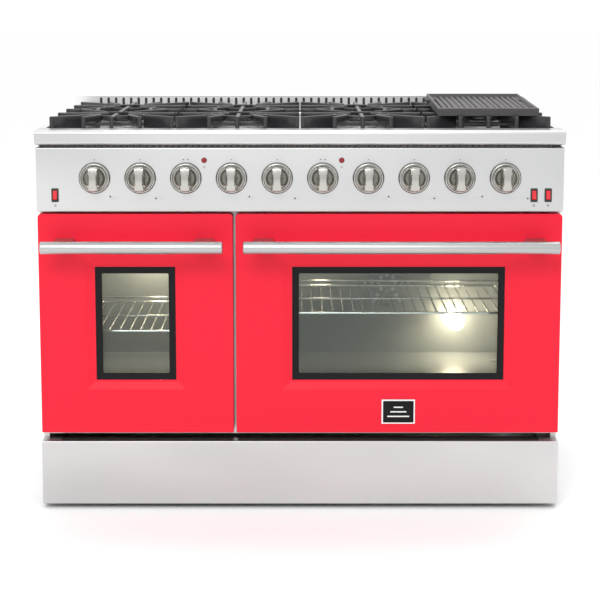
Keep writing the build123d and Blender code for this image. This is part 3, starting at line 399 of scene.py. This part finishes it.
def knobSurface(low, high):
    # front: skirt depth plus the grip, a bar whose sides fall away over its edge width and whose ends
    # follow the round outline; back rows drop straight to the knob's back and close on its centre
    radius = (high.x - low.x) / 2
    centreX, centreZ = (low.x + high.x) / 2, (low.z + high.z) / 2
    depth = high.y - low.y
    grip = knob["gripWidth"] / 2
    fine = np.linspace(-1, 1, 7) * knob["edge"]
    across = np.unique(np.concatenate([
        np.linspace(-radius, -grip - knob["edge"], 14), -grip + fine,
        np.linspace(-grip + knob["edge"], grip - knob["edge"], 12), grip + fine,
        np.linspace(grip + knob["edge"], radius, 14)]).round(7))
    share = np.sin(np.linspace(-1, 1, 41) * np.pi / 2)
    x, b = np.meshgrid(across, share, indexing="xy")
    chord = np.sqrt(np.maximum(radius ** 2 - x ** 2, 0))
    z = b * chord
    away = radius - np.hypot(x, z)
    ring = 0.25 * mm * np.cos(np.hypot(x, z) / (2.1 * mm) * tau)
    skirt = knob["skirt"] - knob["dish"] * easeStep(away / (9 * mm)) + ring
    waist = gripEdge(z, radius)
    raised = easeStep((waist + knob["edge"] - np.abs(x)) / (2 * knob["edge"]))
    top = depth - 0.6 * mm - knob["crown"] * (z / radius) ** 2 - 0.5 * mm * (x / grip) ** 2
    height = skirt + (top - skirt) * raised
    height -= knob["roundOver"] * (1 - easeStep(away / knob["roundOver"] * 0.8 + 0.02)) * 0.8
    front = np.stack([x, high.y - height, z], axis=-1)
    wall = front.copy()
    wall[..., 1] = high.y
    grid = np.concatenate([wall[:1], front, wall[-1:]], axis=0)
    grid[..., 0] += centreX
    grid[..., 2] += centreZ
    back = np.stack([wall[0], wall[-1]], axis=0)
    back[..., 0] += centreX
    back[..., 2] += centreZ
    return [surface(grid), surface(back)]


# each knob's metal carries painted shade in the dish beside its grip
for number in range(1, 11):
    name = f"knob_{number}"
    low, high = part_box(name)
    makePiece(f"knobMetal{number}", knobSurface(low, high), knobSteel, name, [name], sharp=40,
              paintedShadeOf=lambda points: knobPaintedShade(points, low, high))
print("knobs")

# bezels: two polished steps round each knob, drawn as one turned profile
bezelProfile = [(30.3, 0.0), (36.3, 0.0), (36.3, 2.4), (36.0, 3.2), (35.2, 3.8), (34.5, 4.1), (34.2, 5.0),
                (33.8, 6.2), (33.0, 7.0), (32.0, 7.3), (31.0, 7.0), (30.5, 6.0), (30.3, 4.0), (30.3, 0.0)]
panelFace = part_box("control_panel")[0].y
knobSpots = [middleOf(f"knob_{number}") for number in range(1, 11)]
bezels = [turned(np.array(bezelProfile) * mm, (spot.x, panelFace, spot.z), (0, -1, 0)) for spot in knobSpots]


def bezelPaintedShade(points):
    # painted shade: dark round the outer step and in the gap beside the knob, none on the raised ring
    centres = np.array([spot.x for spot in knobSpots])
    x = np.abs(points[:, :1] - centres).min(axis=1)
    r = np.hypot(x, points[:, 2] - knobSpots[0].z)
    return np.maximum(easeStep((r - 34.0 * mm) / (1.4 * mm)), easeStep((31.4 * mm - r) / (0.9 * mm)))


# the bezel rings carry painted shade on their outer step and in the gap beside each knob
makePiece("knobRings", bezels, bezelSteel, "range_body", ["knob_bezels"], sharp=50,
          paintedShadeOf=bezelPaintedShade)

# handles: a turned bar with softened ends on two tapering feet
handle = {"endRound": 3.0 * mm, "footWidth": 52 * mm, "footHeight": 20 * mm, "inset": 19 * mm}
for side in ("left", "right"):
    low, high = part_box(f"{side}_door_handle")
    radius = (high.z - low.z) / 2
    barY, barZ = low.y + radius, (low.z + high.z) / 2
    length = high.x - low.x
    rounding = handle["endRound"]
    arc = np.linspace(0, np.pi / 2, 6)
    nose = np.stack([radius - rounding + rounding * np.sin(arc), rounding * (1 - np.cos(arc))], axis=-1)
    tail = nose[::-1] * (1, -1) + (0, length)
    profile = np.vstack([[(0, 0)], nose, tail, [(0, length)]])
    pieces = [turned(profile, (low.x, barY, barZ), (1, 0, 0), 56)]
    for footX in (low.x + handle["inset"] + handle["footWidth"] / 2,
                  high.x - handle["inset"] - handle["footWidth"] / 2):
        run = straight((footX, high.y, barZ), (footX, barY, barZ), 12)
        along = np.linspace(0, 1, 12)
        outline = roundedOutline(handle["footWidth"], handle["footHeight"], 8 * mm, 6)
        growth = 1 - 0.10 * np.sin(along * np.pi)
        pieces.append(carried(run, outline, growth=growth))
    makePiece(f"{side}DoorHandle", pieces, barSteel, f"{side}_door",
              [f"{side}_door_handle"], sharp=35)
print("handles")

# grates: every bar is a rounded outline carried between two places; u runs across, v back from the front
grate = {"bar": 8.5 * mm, "barHeight": 13 * mm, "postHeight": 33.6 * mm, "round": 2.0 * mm,
         "post": 66 * mm, "rows": (132 * mm, 397 * mm), "arcRadius": 66 * mm,
         "wallEnd": (72 * mm, 66 * mm)}


def grateBars(half, depth):
    # list of (start, end, how deep the bar is) for one half; the other half mirrors it
    front, rear = 4.5 * mm, depth - 4.5 * mm
    rowA, rowB = grate["rows"]
    mid = (rowA + rowB) / 2
    tall, low = grate["postHeight"], grate["barHeight"]
    post = grate["post"]
    wallU, wallV = grate["wallEnd"]
    half -= 4.5 * mm
    return [
        ((half, front), (wallU, wallV), tall), ((wallU, wallV), (38 * mm, rowA - 40 * mm), low),
        ((post, front), (34 * mm, rowA - 56 * mm), low * 1.2),
        ((half, rowA), (24 * mm, rowA), low), ((half, rowB), (24 * mm, rowB), low),
        ((half, rear), (wallU, depth - wallV), tall),
        ((wallU, depth - wallV), (38 * mm, rowB + 40 * mm), low),
        ((post, rear), (34 * mm, rowB + 56 * mm), low * 1.2),
        ((half, mid), (108 * mm, mid), low * 1.2),
        ((108 * mm, mid), (34 * mm, rowA + 46 * mm), low), ((108 * mm, mid), (34 * mm, rowB - 46 * mm), low),
        ((post, mid - 28 * mm), (post, mid + 28 * mm), low),
    ]


def grateSurfaces(low, high):
    centreX, half = (low.x + high.x) / 2, (high.x - low.x) / 2 - 0.5 * mm
    depth, top, rest = high.y - low.y, high.z, low.z
    parts = []

    def bar(start, end, deep, topDrop=0.0, wide=grate["bar"]):
        outline = roundedOutline(wide, deep, grate["round"])
        zMiddle = top - topDrop - deep / 2
        run = straight((centreX + start[0], low.y + start[1], zMiddle),
                       (centreX + end[0], low.y + end[1], zMiddle), 3)
        parts.append(carried(run, outline, endRound=grate["round"]))

    for start, end, deep in grateBars(half, depth):
        bar(start, end, deep)
        bar((-start[0], start[1]), (-end[0], end[1]), deep)
    rowA, rowB = grate["rows"]
    bar((0, 1 * mm), (0, rowA - 22 * mm), grate["barHeight"])
    bar((0, rowA + 30 * mm), (0, rowB - 30 * mm), grate["barHeight"])
    bar((0, rowB + 22 * mm), (0, depth - 1 * mm), grate["barHeight"])
    bar((-38 * mm, (rowA + rowB) / 2), (38 * mm, (rowA + rowB) / 2), 11 * mm, 11 * mm)
    wallU, wallV = grate["wallEnd"]
    for v in (wallV, depth - wallV):
        bar((-wallU, v), (wallU, v), 9.5 * mm, 17.5 * mm)
    # low frame on the pan, and the posts that stand on it
    frameDrop = top - rest - 12 * mm
    edge = half - 4.5 * mm
    for side in (-edge, edge):
        bar((side, 1 * mm), (side, depth - 1 * mm), 8 * mm, frameDrop)
    bar((-half, depth / 2), (half, depth / 2), 8 * mm, frameDrop)
    postSpots = [(u, v) for u in (-edge, -grate["post"], 0, grate["post"], edge)
                 for v in (5 * mm, depth - 5 * mm)]
    postSpots += [(u, v) for u in (-edge, edge) for v in (rowA, (rowA + rowB) / 2, rowB)]
    postSpots += [(u, (rowA + rowB) / 2) for u in (-grate["post"], grate["post"])]
    outline = roundedOutline(9.5 * mm, 9.5 * mm, 2.2 * mm)
    for u, v in postSpots:
        run = straight((centreX + u, low.y + v, rest), (centreX + u, low.y + v, top), 3)
        parts.append(carried(run, outline, up=(0, 1, 0), endRound=1.6 * mm))
    # short arcs that tie the fingers round each burner
    for row in grate["rows"]:
        for turn in range(4):
            angle = np.linspace(-42, 42, 15) * np.pi / 180 + turn * np.pi / 2 + np.pi / 4
            zMiddle = top - 2.5 * mm - 4.5 * mm
            run = np.stack([centreX + grate["arcRadius"] * np.cos(angle),
                            low.y + row + grate["arcRadius"] * np.sin(angle),
                            np.full(15, zMiddle)], axis=-1)
            parts.append(carried(run, roundedOutline(6 * mm, 9 * mm, 1.8 * mm)))
    return parts


for number in range(1, 5):
    name = f"grate_{number}"
    makePiece(f"castGrate{number}", grateSurfaces(*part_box(name)), castIron, name, [name])
print("grates")

# burners: head with a ring of flame teeth, a domed cap, all turned profiles
burner = {"headRadius": 40 * mm, "capRadius": 44.5 * mm, "teeth": 30, "stem": 28 * mm}
capLow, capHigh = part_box("burner_caps")
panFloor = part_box("burner_heads")[0].z + burner["stem"]
grateBoxes = [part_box(f"grate_{number}") for number in range(1, 5)]
burnerSpots = [((low.x + high.x) / 2, low.y + row) for low, high in grateBoxes for row in grate["rows"]]
capTop, capUnder = capHigh.z, capLow.z


def toothRing(centre):
    # a cylinder whose radius steps in and out: teeth where the sine of the turn is above zero
    steps = burner["teeth"] * 8
    angle = np.linspace(0, tau, steps, endpoint=False)
    step = np.where(np.sin(angle * burner["teeth"]) > 0, 0.0, 2.4 * mm)
    radius = burner["headRadius"] - step
    ring = np.stack([np.cos(angle) * radius, np.sin(angle) * radius], axis=-1)
    heights = [capUnder - 6 * mm, capUnder - 6 * mm, capUnder, capUnder]
    scale = [0.0, 1.0, 1.0, 0.0]
    points = np.array([np.column_stack([ring * s, np.full(steps, h)]) for h, s in zip(heights, scale)])
    points[..., 0] += centre[0]
    points[..., 1] += centre[1]
    return surface(points, roundCols=True)


headProfile = [(0, 0), (43, 0), (43, 3.2), (42.2, 4), (39, 4.6), (37.5, 6), (37.5, 10),
               (39.4, 10.6), (0, 10.6)]
heads, caps = [], []
for centre in burnerSpots:
    heads.append(turned(np.array(headProfile) * mm, (*centre, panFloor), (0, 0, 1), 64))
    heads.append(toothRing(centre))
    heads.append(turned([(0, -26 * mm), (20 * mm, -26 * mm), (20 * mm, 0.5 * mm), (0, 0.5 * mm)],
                        (*centre, panFloor), (0, 0, 1), 40))
    deep = capTop - capUnder
    angle = np.linspace(0, np.pi / 2, 7)
    edgeRound = 2.6 * mm
    rim = np.stack([burner["capRadius"] - edgeRound + edgeRound * np.cos(angle),
                    deep - edgeRound - 0.6 * mm + edgeRound * np.sin(angle)], axis=-1)
    capProfile = np.vstack([[(0, 0), (41 * mm, 0), (burner["capRadius"], 1 * mm)], rim,
                            [(30 * mm, deep), (29 * mm, deep - 0.5 * mm), (0, deep - 0.5 * mm)]])
    caps.append(turned(capProfile, (*centre, capUnder), (0, 0, 1), 64))
makePiece("burnerCastings", heads, burnerMetal, "range_body", ["burner_heads"])
makePiece("burnerTops", caps, capEnamel, "range_body", ["burner_caps"])
print("burners")

# griddle: a height over a rectangle, with a rim, ridges and rounded ears, tilted to drain forward
griddle = {"width": 237 * mm, "length": 350 * mm, "thick": 18.5 * mm, "rim": 8 * mm, "ridges": 15,
           "ridgeHeight": 4.5 * mm, "floor": 8.5 * mm, "tilt": radians(2.1)}
griddleLow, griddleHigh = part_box("griddle")
griddleOrigin = np.array([(griddleLow.x + griddleHigh.x) / 2, griddleLow.y, griddleLow.z])


def griddleTop():
    # floor plus a rounded wave of ridges, rising to the rim near every edge
    cols = griddle["ridges"] * 12 + 30
    x = np.linspace(-griddle["width"] / 2, griddle["width"] / 2, cols)
    inner = griddle["width"] / 2 - griddle["rim"]
    v = np.concatenate([np.linspace(0, 40 * mm, 26), np.linspace(44 * mm, griddle["length"] - 30 * mm, 30),
                        np.linspace(griddle["length"] - 27 * mm, griddle["length"], 22)])
    gridX, gridV = np.meshgrid(x, v)
    pitch = 2 * inner / (griddle["ridges"] + 0.6)
    wave = easeStep(0.5 + 1.3 * np.cos(gridX / pitch * tau))
    ends = easeStep((gridV - 26 * mm) / (8 * mm)) * easeStep((griddle["length"] - 16 * mm - gridV) / (8 * mm))
    fromSide = np.minimum(np.minimum(griddle["width"] / 2 - np.abs(gridX), gridV), griddle["length"] - gridV)
    rimUp = 1 - easeStep((fromSide - griddle["rim"] + 3 * mm) / (4 * mm))
    height = griddle["floor"] + griddle["ridgeHeight"] * wave * ends * (np.abs(gridX) < inner - 2 * mm)
    height = height * (1 - rimUp) + griddle["thick"] * rimUp
    height -= 1.5 * mm * (1 - easeStep(fromSide / (2.5 * mm)))
    top = np.stack([gridX, gridV, height], axis=-1)
    skirt = top.copy()
    skirt[..., 2] = 0
    grid = np.concatenate([skirt[:1], top, skirt[-1:]], axis=0)
    leftWall = grid[:, :1].copy()
    leftWall[..., 2] = 0
    rightWall = grid[:, -1:].copy()
    rightWall[..., 2] = 0
    return surface(np.concatenate([leftWall, grid, rightWall], axis=1)), surface(skirt)


def tiltGriddle(part):
    points, quads = part
    cosT, sinT = np.cos(griddle["tilt"]), np.sin(griddle["tilt"])
    y = points[:, 1] * cosT - points[:, 2] * sinT
    z = points[:, 1] * sinT + points[:, 2] * cosT
    return np.column_stack([points[:, 0], y, z]) + griddleOrigin, quads


griddleParts = list(griddleTop())
for side in (-1, 1):
    for lobe in range(3):
        spot = (side * (griddle["width"] / 2 - 4 * mm), griddle["length"] - (38 + 24 * lobe) * mm, 0)
        lobeProfile = np.array([(0, 4), (11, 4), (13, 6), (13, 11), (11.5, 13), (0, 13.4)]) * mm
        griddleParts.append(turned(lobeProfile, spot, (0, 0, 1), 28))
footDrop = griddle["length"] * np.sin(griddle["tilt"]) - 0.6 * mm
for side in (-1, 1):
    spot = (side * (griddle["width"] / 2 - 30 * mm), griddle["length"] - 14 * mm, -footDrop)
    griddleParts.append(turned([(0, 0), (8 * mm, 0), (8 * mm, footDrop + 1 * mm), (0, footDrop + 1 * mm)],
                               spot, (0, 0, 1), 24))
makePiece("ridgedGriddle", [tiltGriddle(part) for part in griddleParts], griddleIron, "griddle",
          ["griddle"], sharp=45)
print("griddle")

# black printed border round each window: a flat ring of even width on the glass
border = {"width": 15.6 * mm, "lift": 0.25 * mm, "thick": 0.6 * mm, "visible": 6 * mm}


def flatRing(low, high, inset, width, y, thick, corner=3 * mm):
    # outer outline, inner outline and the same two a little deeper, joined round into a closed band
    wide, tall = high.x - low.x - 2 * inset, high.z - low.z - 2 * inset
    centre = np.array([(low.x + high.x) / 2, 0, (low.z + high.z) / 2])
    rings = []
    for shrink, depth in ((0, thick), (0, 0), (width, 0), (width, thick), (0, thick)):
        outline = roundedOutline(wide - 2 * shrink, tall - 2 * shrink, corner)
        ring = np.stack([outline[:, 0], np.full(len(outline), y + depth), outline[:, 1]], axis=-1)
        rings.append(ring + centre)
    return surface(np.array(rings), roundCols=True)


for side in ("left", "right"):
    low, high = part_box(f"{side}_door_glass")
    ring = flatRing(low, high, border["visible"] + 0.4 * mm, border["width"],
                    low.y - border["lift"] - border["thick"], border["thick"])
    makePiece(f"{side}WindowBorder", [ring], blackBorder, f"{side}_door")
print("windows")

# printed symbols: thin raised shapes on the panel, never more than 0.2 mm proud
ink = {"thick": 0.15 * mm, "dot": 1.6 * mm, "pitch": 5.5 * mm}


def inkDot(x, z, radius=1.2 * mm, steps=20):
    profile = [(0, 0), (radius, 0), (radius, ink["thick"]), (0, ink["thick"])]
    return turned(profile, (x, panelFace, z), (0, -1, 0), steps)


def inkRing(x, z, radius, width=0.6 * mm, steps=20):
    profile = [(radius - width, 0), (radius, 0), (radius, ink["thick"]), (radius - width, ink["thick"]),
               (radius - width, 0)]
    return turned(profile, (x, panelFace, z), (0, -1, 0), steps)


darkMarks, paleMarks = [], []
burnerKnobs = [1, 2, 4, 5, 7, 8, 9, 10]
for order, number in enumerate(burnerKnobs):
    spot = knobSpots[number - 1]
    column, row = order // 2, order % 2
    iconX, iconZ = spot.x + 44 * mm, spot.z - 45 * mm
    darkMarks.append(inkDot(spot.x, spot.z + 43 * mm))
    for col in range(4):
        for line in range(2):
            x = iconX + (col - 1.5) * ink["pitch"]
            z = iconZ + (0.5 - line) * ink["pitch"] * 0.8
            if col == column and line == row:
                darkMarks.append(inkDot(x, z, 2.1 * mm))
            else:
                paleMarks.append(inkRing(x, z, 1.9 * mm))
for number in (3, 6):
    spot = knobSpots[number - 1]
    darkMarks.append(inkDot(spot.x - 5 * mm, spot.z + 43 * mm, 1.5 * mm))
    darkMarks.append(inkDot(spot.x + 5 * mm, spot.z + 43 * mm, 1.5 * mm))
lampLow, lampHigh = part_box("indicator_lamps")
for x in (lampLow.x + 6.5 * mm, lampHigh.x - 6.5 * mm):
    darkMarks.append(inkRing(x, lampLow.z - 9 * mm, 2.4 * mm, 0.7 * mm))
for number in range(1, 4):
    spot = middleOf(f"rocker_{number}")
    darkMarks.append(inkRing(spot.x, spot.z - 24 * mm, 2.8 * mm, 0.8 * mm))
    darkMarks.append(inkDot(spot.x, spot.z - 24 * mm, 0.9 * mm))
makePiece("panelMarksDark", darkMarks, printInk, "range_body")
makePiece("panelMarksPale", paleMarks, paleInk, "range_body")

# badge: black field inside the metal plate, with three plain bars
badgeLow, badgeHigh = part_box("badge")
badgeWide, badgeTall = badgeHigh.x - badgeLow.x, badgeHigh.z - badgeLow.z
badgeMiddle = ((badgeLow.x + badgeHigh.x) / 2, badgeLow.y, (badgeLow.z + badgeHigh.z) / 2)
makePiece("badgeField", [slab(badgeWide - 7 * mm, badgeTall - 7 * mm, 0.3 * mm, badgeMiddle,
                              1 * mm, 0.1 * mm)],
          blackBorder, "right_door")
barY = badgeLow.y - 0.3 * mm
barsOnBadge = [slab(wide * mm, 3.2 * mm, 0.3 * mm, (badgeMiddle[0], barY, badgeMiddle[2] + z * mm),
                    1.2 * mm, 0.1 * mm) for wide, z in ((22, 11), (38, 0), (52, -11))]
makePiece("badgeBars", barsOnBadge, badgeRim, "right_door")

# small dark bumpers under the doors
bumper = {"places": (-560, -176, -118, 224, 566), "rise": 8 * mm,
          "profile": [(0, 0), (5, 0), (5, 3), (4, 4.5), (0, 5)]}
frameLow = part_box("front_frame")[0]
bumpers = [turned(np.array(bumper["profile"]) * mm, (x * mm, frameLow.y, frameLow.z + bumper["rise"]),
                  (0, -1, 0), 24) for x in bumper["places"]]
makePiece("doorBumpers", bumpers, blackPlastic, "range_body")
print("trim")

# painted shadow: a dark sheet behind the guard's slots, where the guard's inside is only in shade
guardLow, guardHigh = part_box("back_guard")
guardShadow = {"rise": 8 * mm, "height": 28 * mm, "thick": 0.8 * mm, "sheet": 1.5 * mm}


def plainBox(low, high):
    # eight corners as two closed rings and their ends
    x0, y0, z0 = low
    x1, y1, z1 = high
    ring = [(x0, z0), (x1, z0), (x1, z1), (x0, z1)]
    middle = [((x0 + x1) / 2, (z0 + z1) / 2)] * 4
    rows = [(middle, y0), (ring, y0), (ring, y1), (middle, y1)]
    return surface(np.array([[(x, y, z) for x, z in outline] for outline, y in rows]), roundCols=True)


guardShadowY = guardLow.y + guardShadow["sheet"] + 0.3 * mm
makePiece("guardShadowSheet", [plainBox((guardLow.x + 12 * mm, guardShadowY, guardLow.z + guardShadow["rise"]),
                                   (guardHigh.x - 12 * mm, guardShadowY + guardShadow["thick"],
                                    guardLow.z + guardShadow["rise"] + guardShadow["height"]))],
          darkSheetAndShadow, "range_body")

# slanting fins in the vent under the rail
vent = {"pitch": 7.4 * mm, "slant": 5.2 * mm, "thick": 1.6 * mm, "depth": 3.0 * mm}
ventLow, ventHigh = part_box("vent_strip")
finCount = int((ventHigh.x - ventLow.x - 24 * mm) / vent["pitch"])
fins = []
for index in range(finCount):
    x = ventLow.x + 12 * mm + index * vent["pitch"]
    lowZ, highZ = ventLow.z + 0.6 * mm, ventHigh.z - 0.6 * mm
    ring = [(x, lowZ), (x + vent["thick"], lowZ),
            (x + vent["slant"] + vent["thick"], highZ), (x + vent["slant"], highZ)]
    centre = [(x + (vent["slant"] + vent["thick"]) / 2, (lowZ + highZ) / 2)] * 4
    finY = ventLow.y - vent["depth"]
    rows = [(centre, finY), (ring, finY), (ring, ventLow.y - 0.3 * mm), (centre, ventLow.y - 0.3 * mm)]
    fins.append(surface(np.array([[(a, y, b) for a, b in outline] for outline, y in rows]), roundCols=True))
makePiece("ventFins", fins, finMetal, "range_body")

# painted shadow: a dark sheet on the kick plate's top, standing in for the shade in the gap above it, broken
# at its ends and between the doors
kickLow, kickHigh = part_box("kick_plate")
kickShadow = {"from": 3 * mm, "thick": 0.8 * mm, "end": 44 * mm}
doorGap = (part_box("left_door_skin")[1].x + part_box("right_door_skin")[0].x) / 2
kickShadows = [plainBox((left, kickLow.y + kickShadow["from"], kickHigh.z + 0.1 * mm),
                  (right, kickHigh.y - 0.5 * mm, kickHigh.z + 0.1 * mm + kickShadow["thick"]))
         for left, right in ((kickLow.x + kickShadow["end"], doorGap - 5 * mm),
                             (doorGap + 5 * mm, kickHigh.x - kickShadow["end"]))]
makePiece("kickShadowSheets", kickShadows, darkSheetAndShadow, "range_body")
# this print also covers the kick plate's painted shadow sheets
print("vent and seals")

# lamps, floor, light and camera
ovenLight = {"colour": (1.0, 0.78, 0.55), "radius": 0.02, "ahead": 0.075,
             "places": (("left", -0.383, 0.549, 1.9), ("right", 0.409, 0.359, 1.4),
                        ("right", 0.055, 0.596, 0.6))}
for side, x, z, watts in ovenLight["places"]:
    bulb = bpy.data.lights.new("ovenBulb", "POINT")
    bulb.energy = watts
    bulb.color = ovenLight["colour"]
    bulb.shadow_soft_size = ovenLight["radius"]
    holder = bpy.data.objects.new("ovenBulb", bulb)
    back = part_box(f"{side}_oven_liner")[1].y
    holder.location = (x, back - ovenLight["ahead"], z)
    bpy.context.scene.collection.objects.link(holder)

floorMesh = bpy.data.meshes.new("floor")
reach = 60.0
floorMesh.from_pydata([(-reach, -reach, 0), (reach, -reach, 0), (reach, reach, 0), (-reach, reach, 0)], [],
                      [(0, 1, 2, 3)])
floor = bpy.data.objects.new("floor", floorMesh)
bpy.context.scene.collection.objects.link(floor)
floorPaint = startMaterial("floorPaint", (0.94, 0.94, 0.94), 0.8)[0]
floorMesh.materials.append(floorPaint)

world = bpy.data.worlds.new("studio")
bpy.context.scene.world = world
world.use_nodes = True
world.node_tree.nodes["Background"].inputs["Color"].default_value = (1.0, 1.0, 1.0, 1)
world.node_tree.nodes["Background"].inputs["Strength"].default_value = 1.05
bpy.context.scene.view_settings.view_transform = "Standard"


def softBox(name, place, target, size, watts):
    lamp = bpy.data.lights.new(name, "AREA")
    lamp.shape = "RECTANGLE"
    lamp.size, lamp.size_y = size
    lamp.energy = watts
    holder = bpy.data.objects.new(name, lamp)
    holder.location = place
    holder.rotation_euler = (Vector(target) - Vector(place)).to_track_quat("-Z", "Y").to_euler()
    bpy.context.scene.collection.objects.link(holder)


softBox("keyBox", (-0.9, -4.4, 3.6), (0, 0, 0.5), (2.6, 1.4), 95)
softBox("topBox", (0.2, 0.9, 3.4), (0, 0, 0.9), (2.8, 1.4), 40)

view = {"lens": 92.0, "pitch": 7.4, "distance": 3.5, "height": 1.1964, "shiftY": -0.168}
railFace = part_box("front_rail")[0].y
cameraData = bpy.data.cameras.new("camera")
cameraData.lens = view["lens"]
cameraData.sensor_width = 36.0
cameraData.shift_y = view["shiftY"]
camera = bpy.data.objects.new("camera", cameraData)
camera.location = (0, railFace - view["distance"], view["height"])
camera.rotation_euler = (radians(90 - view["pitch"]), 0, 0)
bpy.context.scene.collection.objects.link(camera)
bpy.context.scene.camera = camera
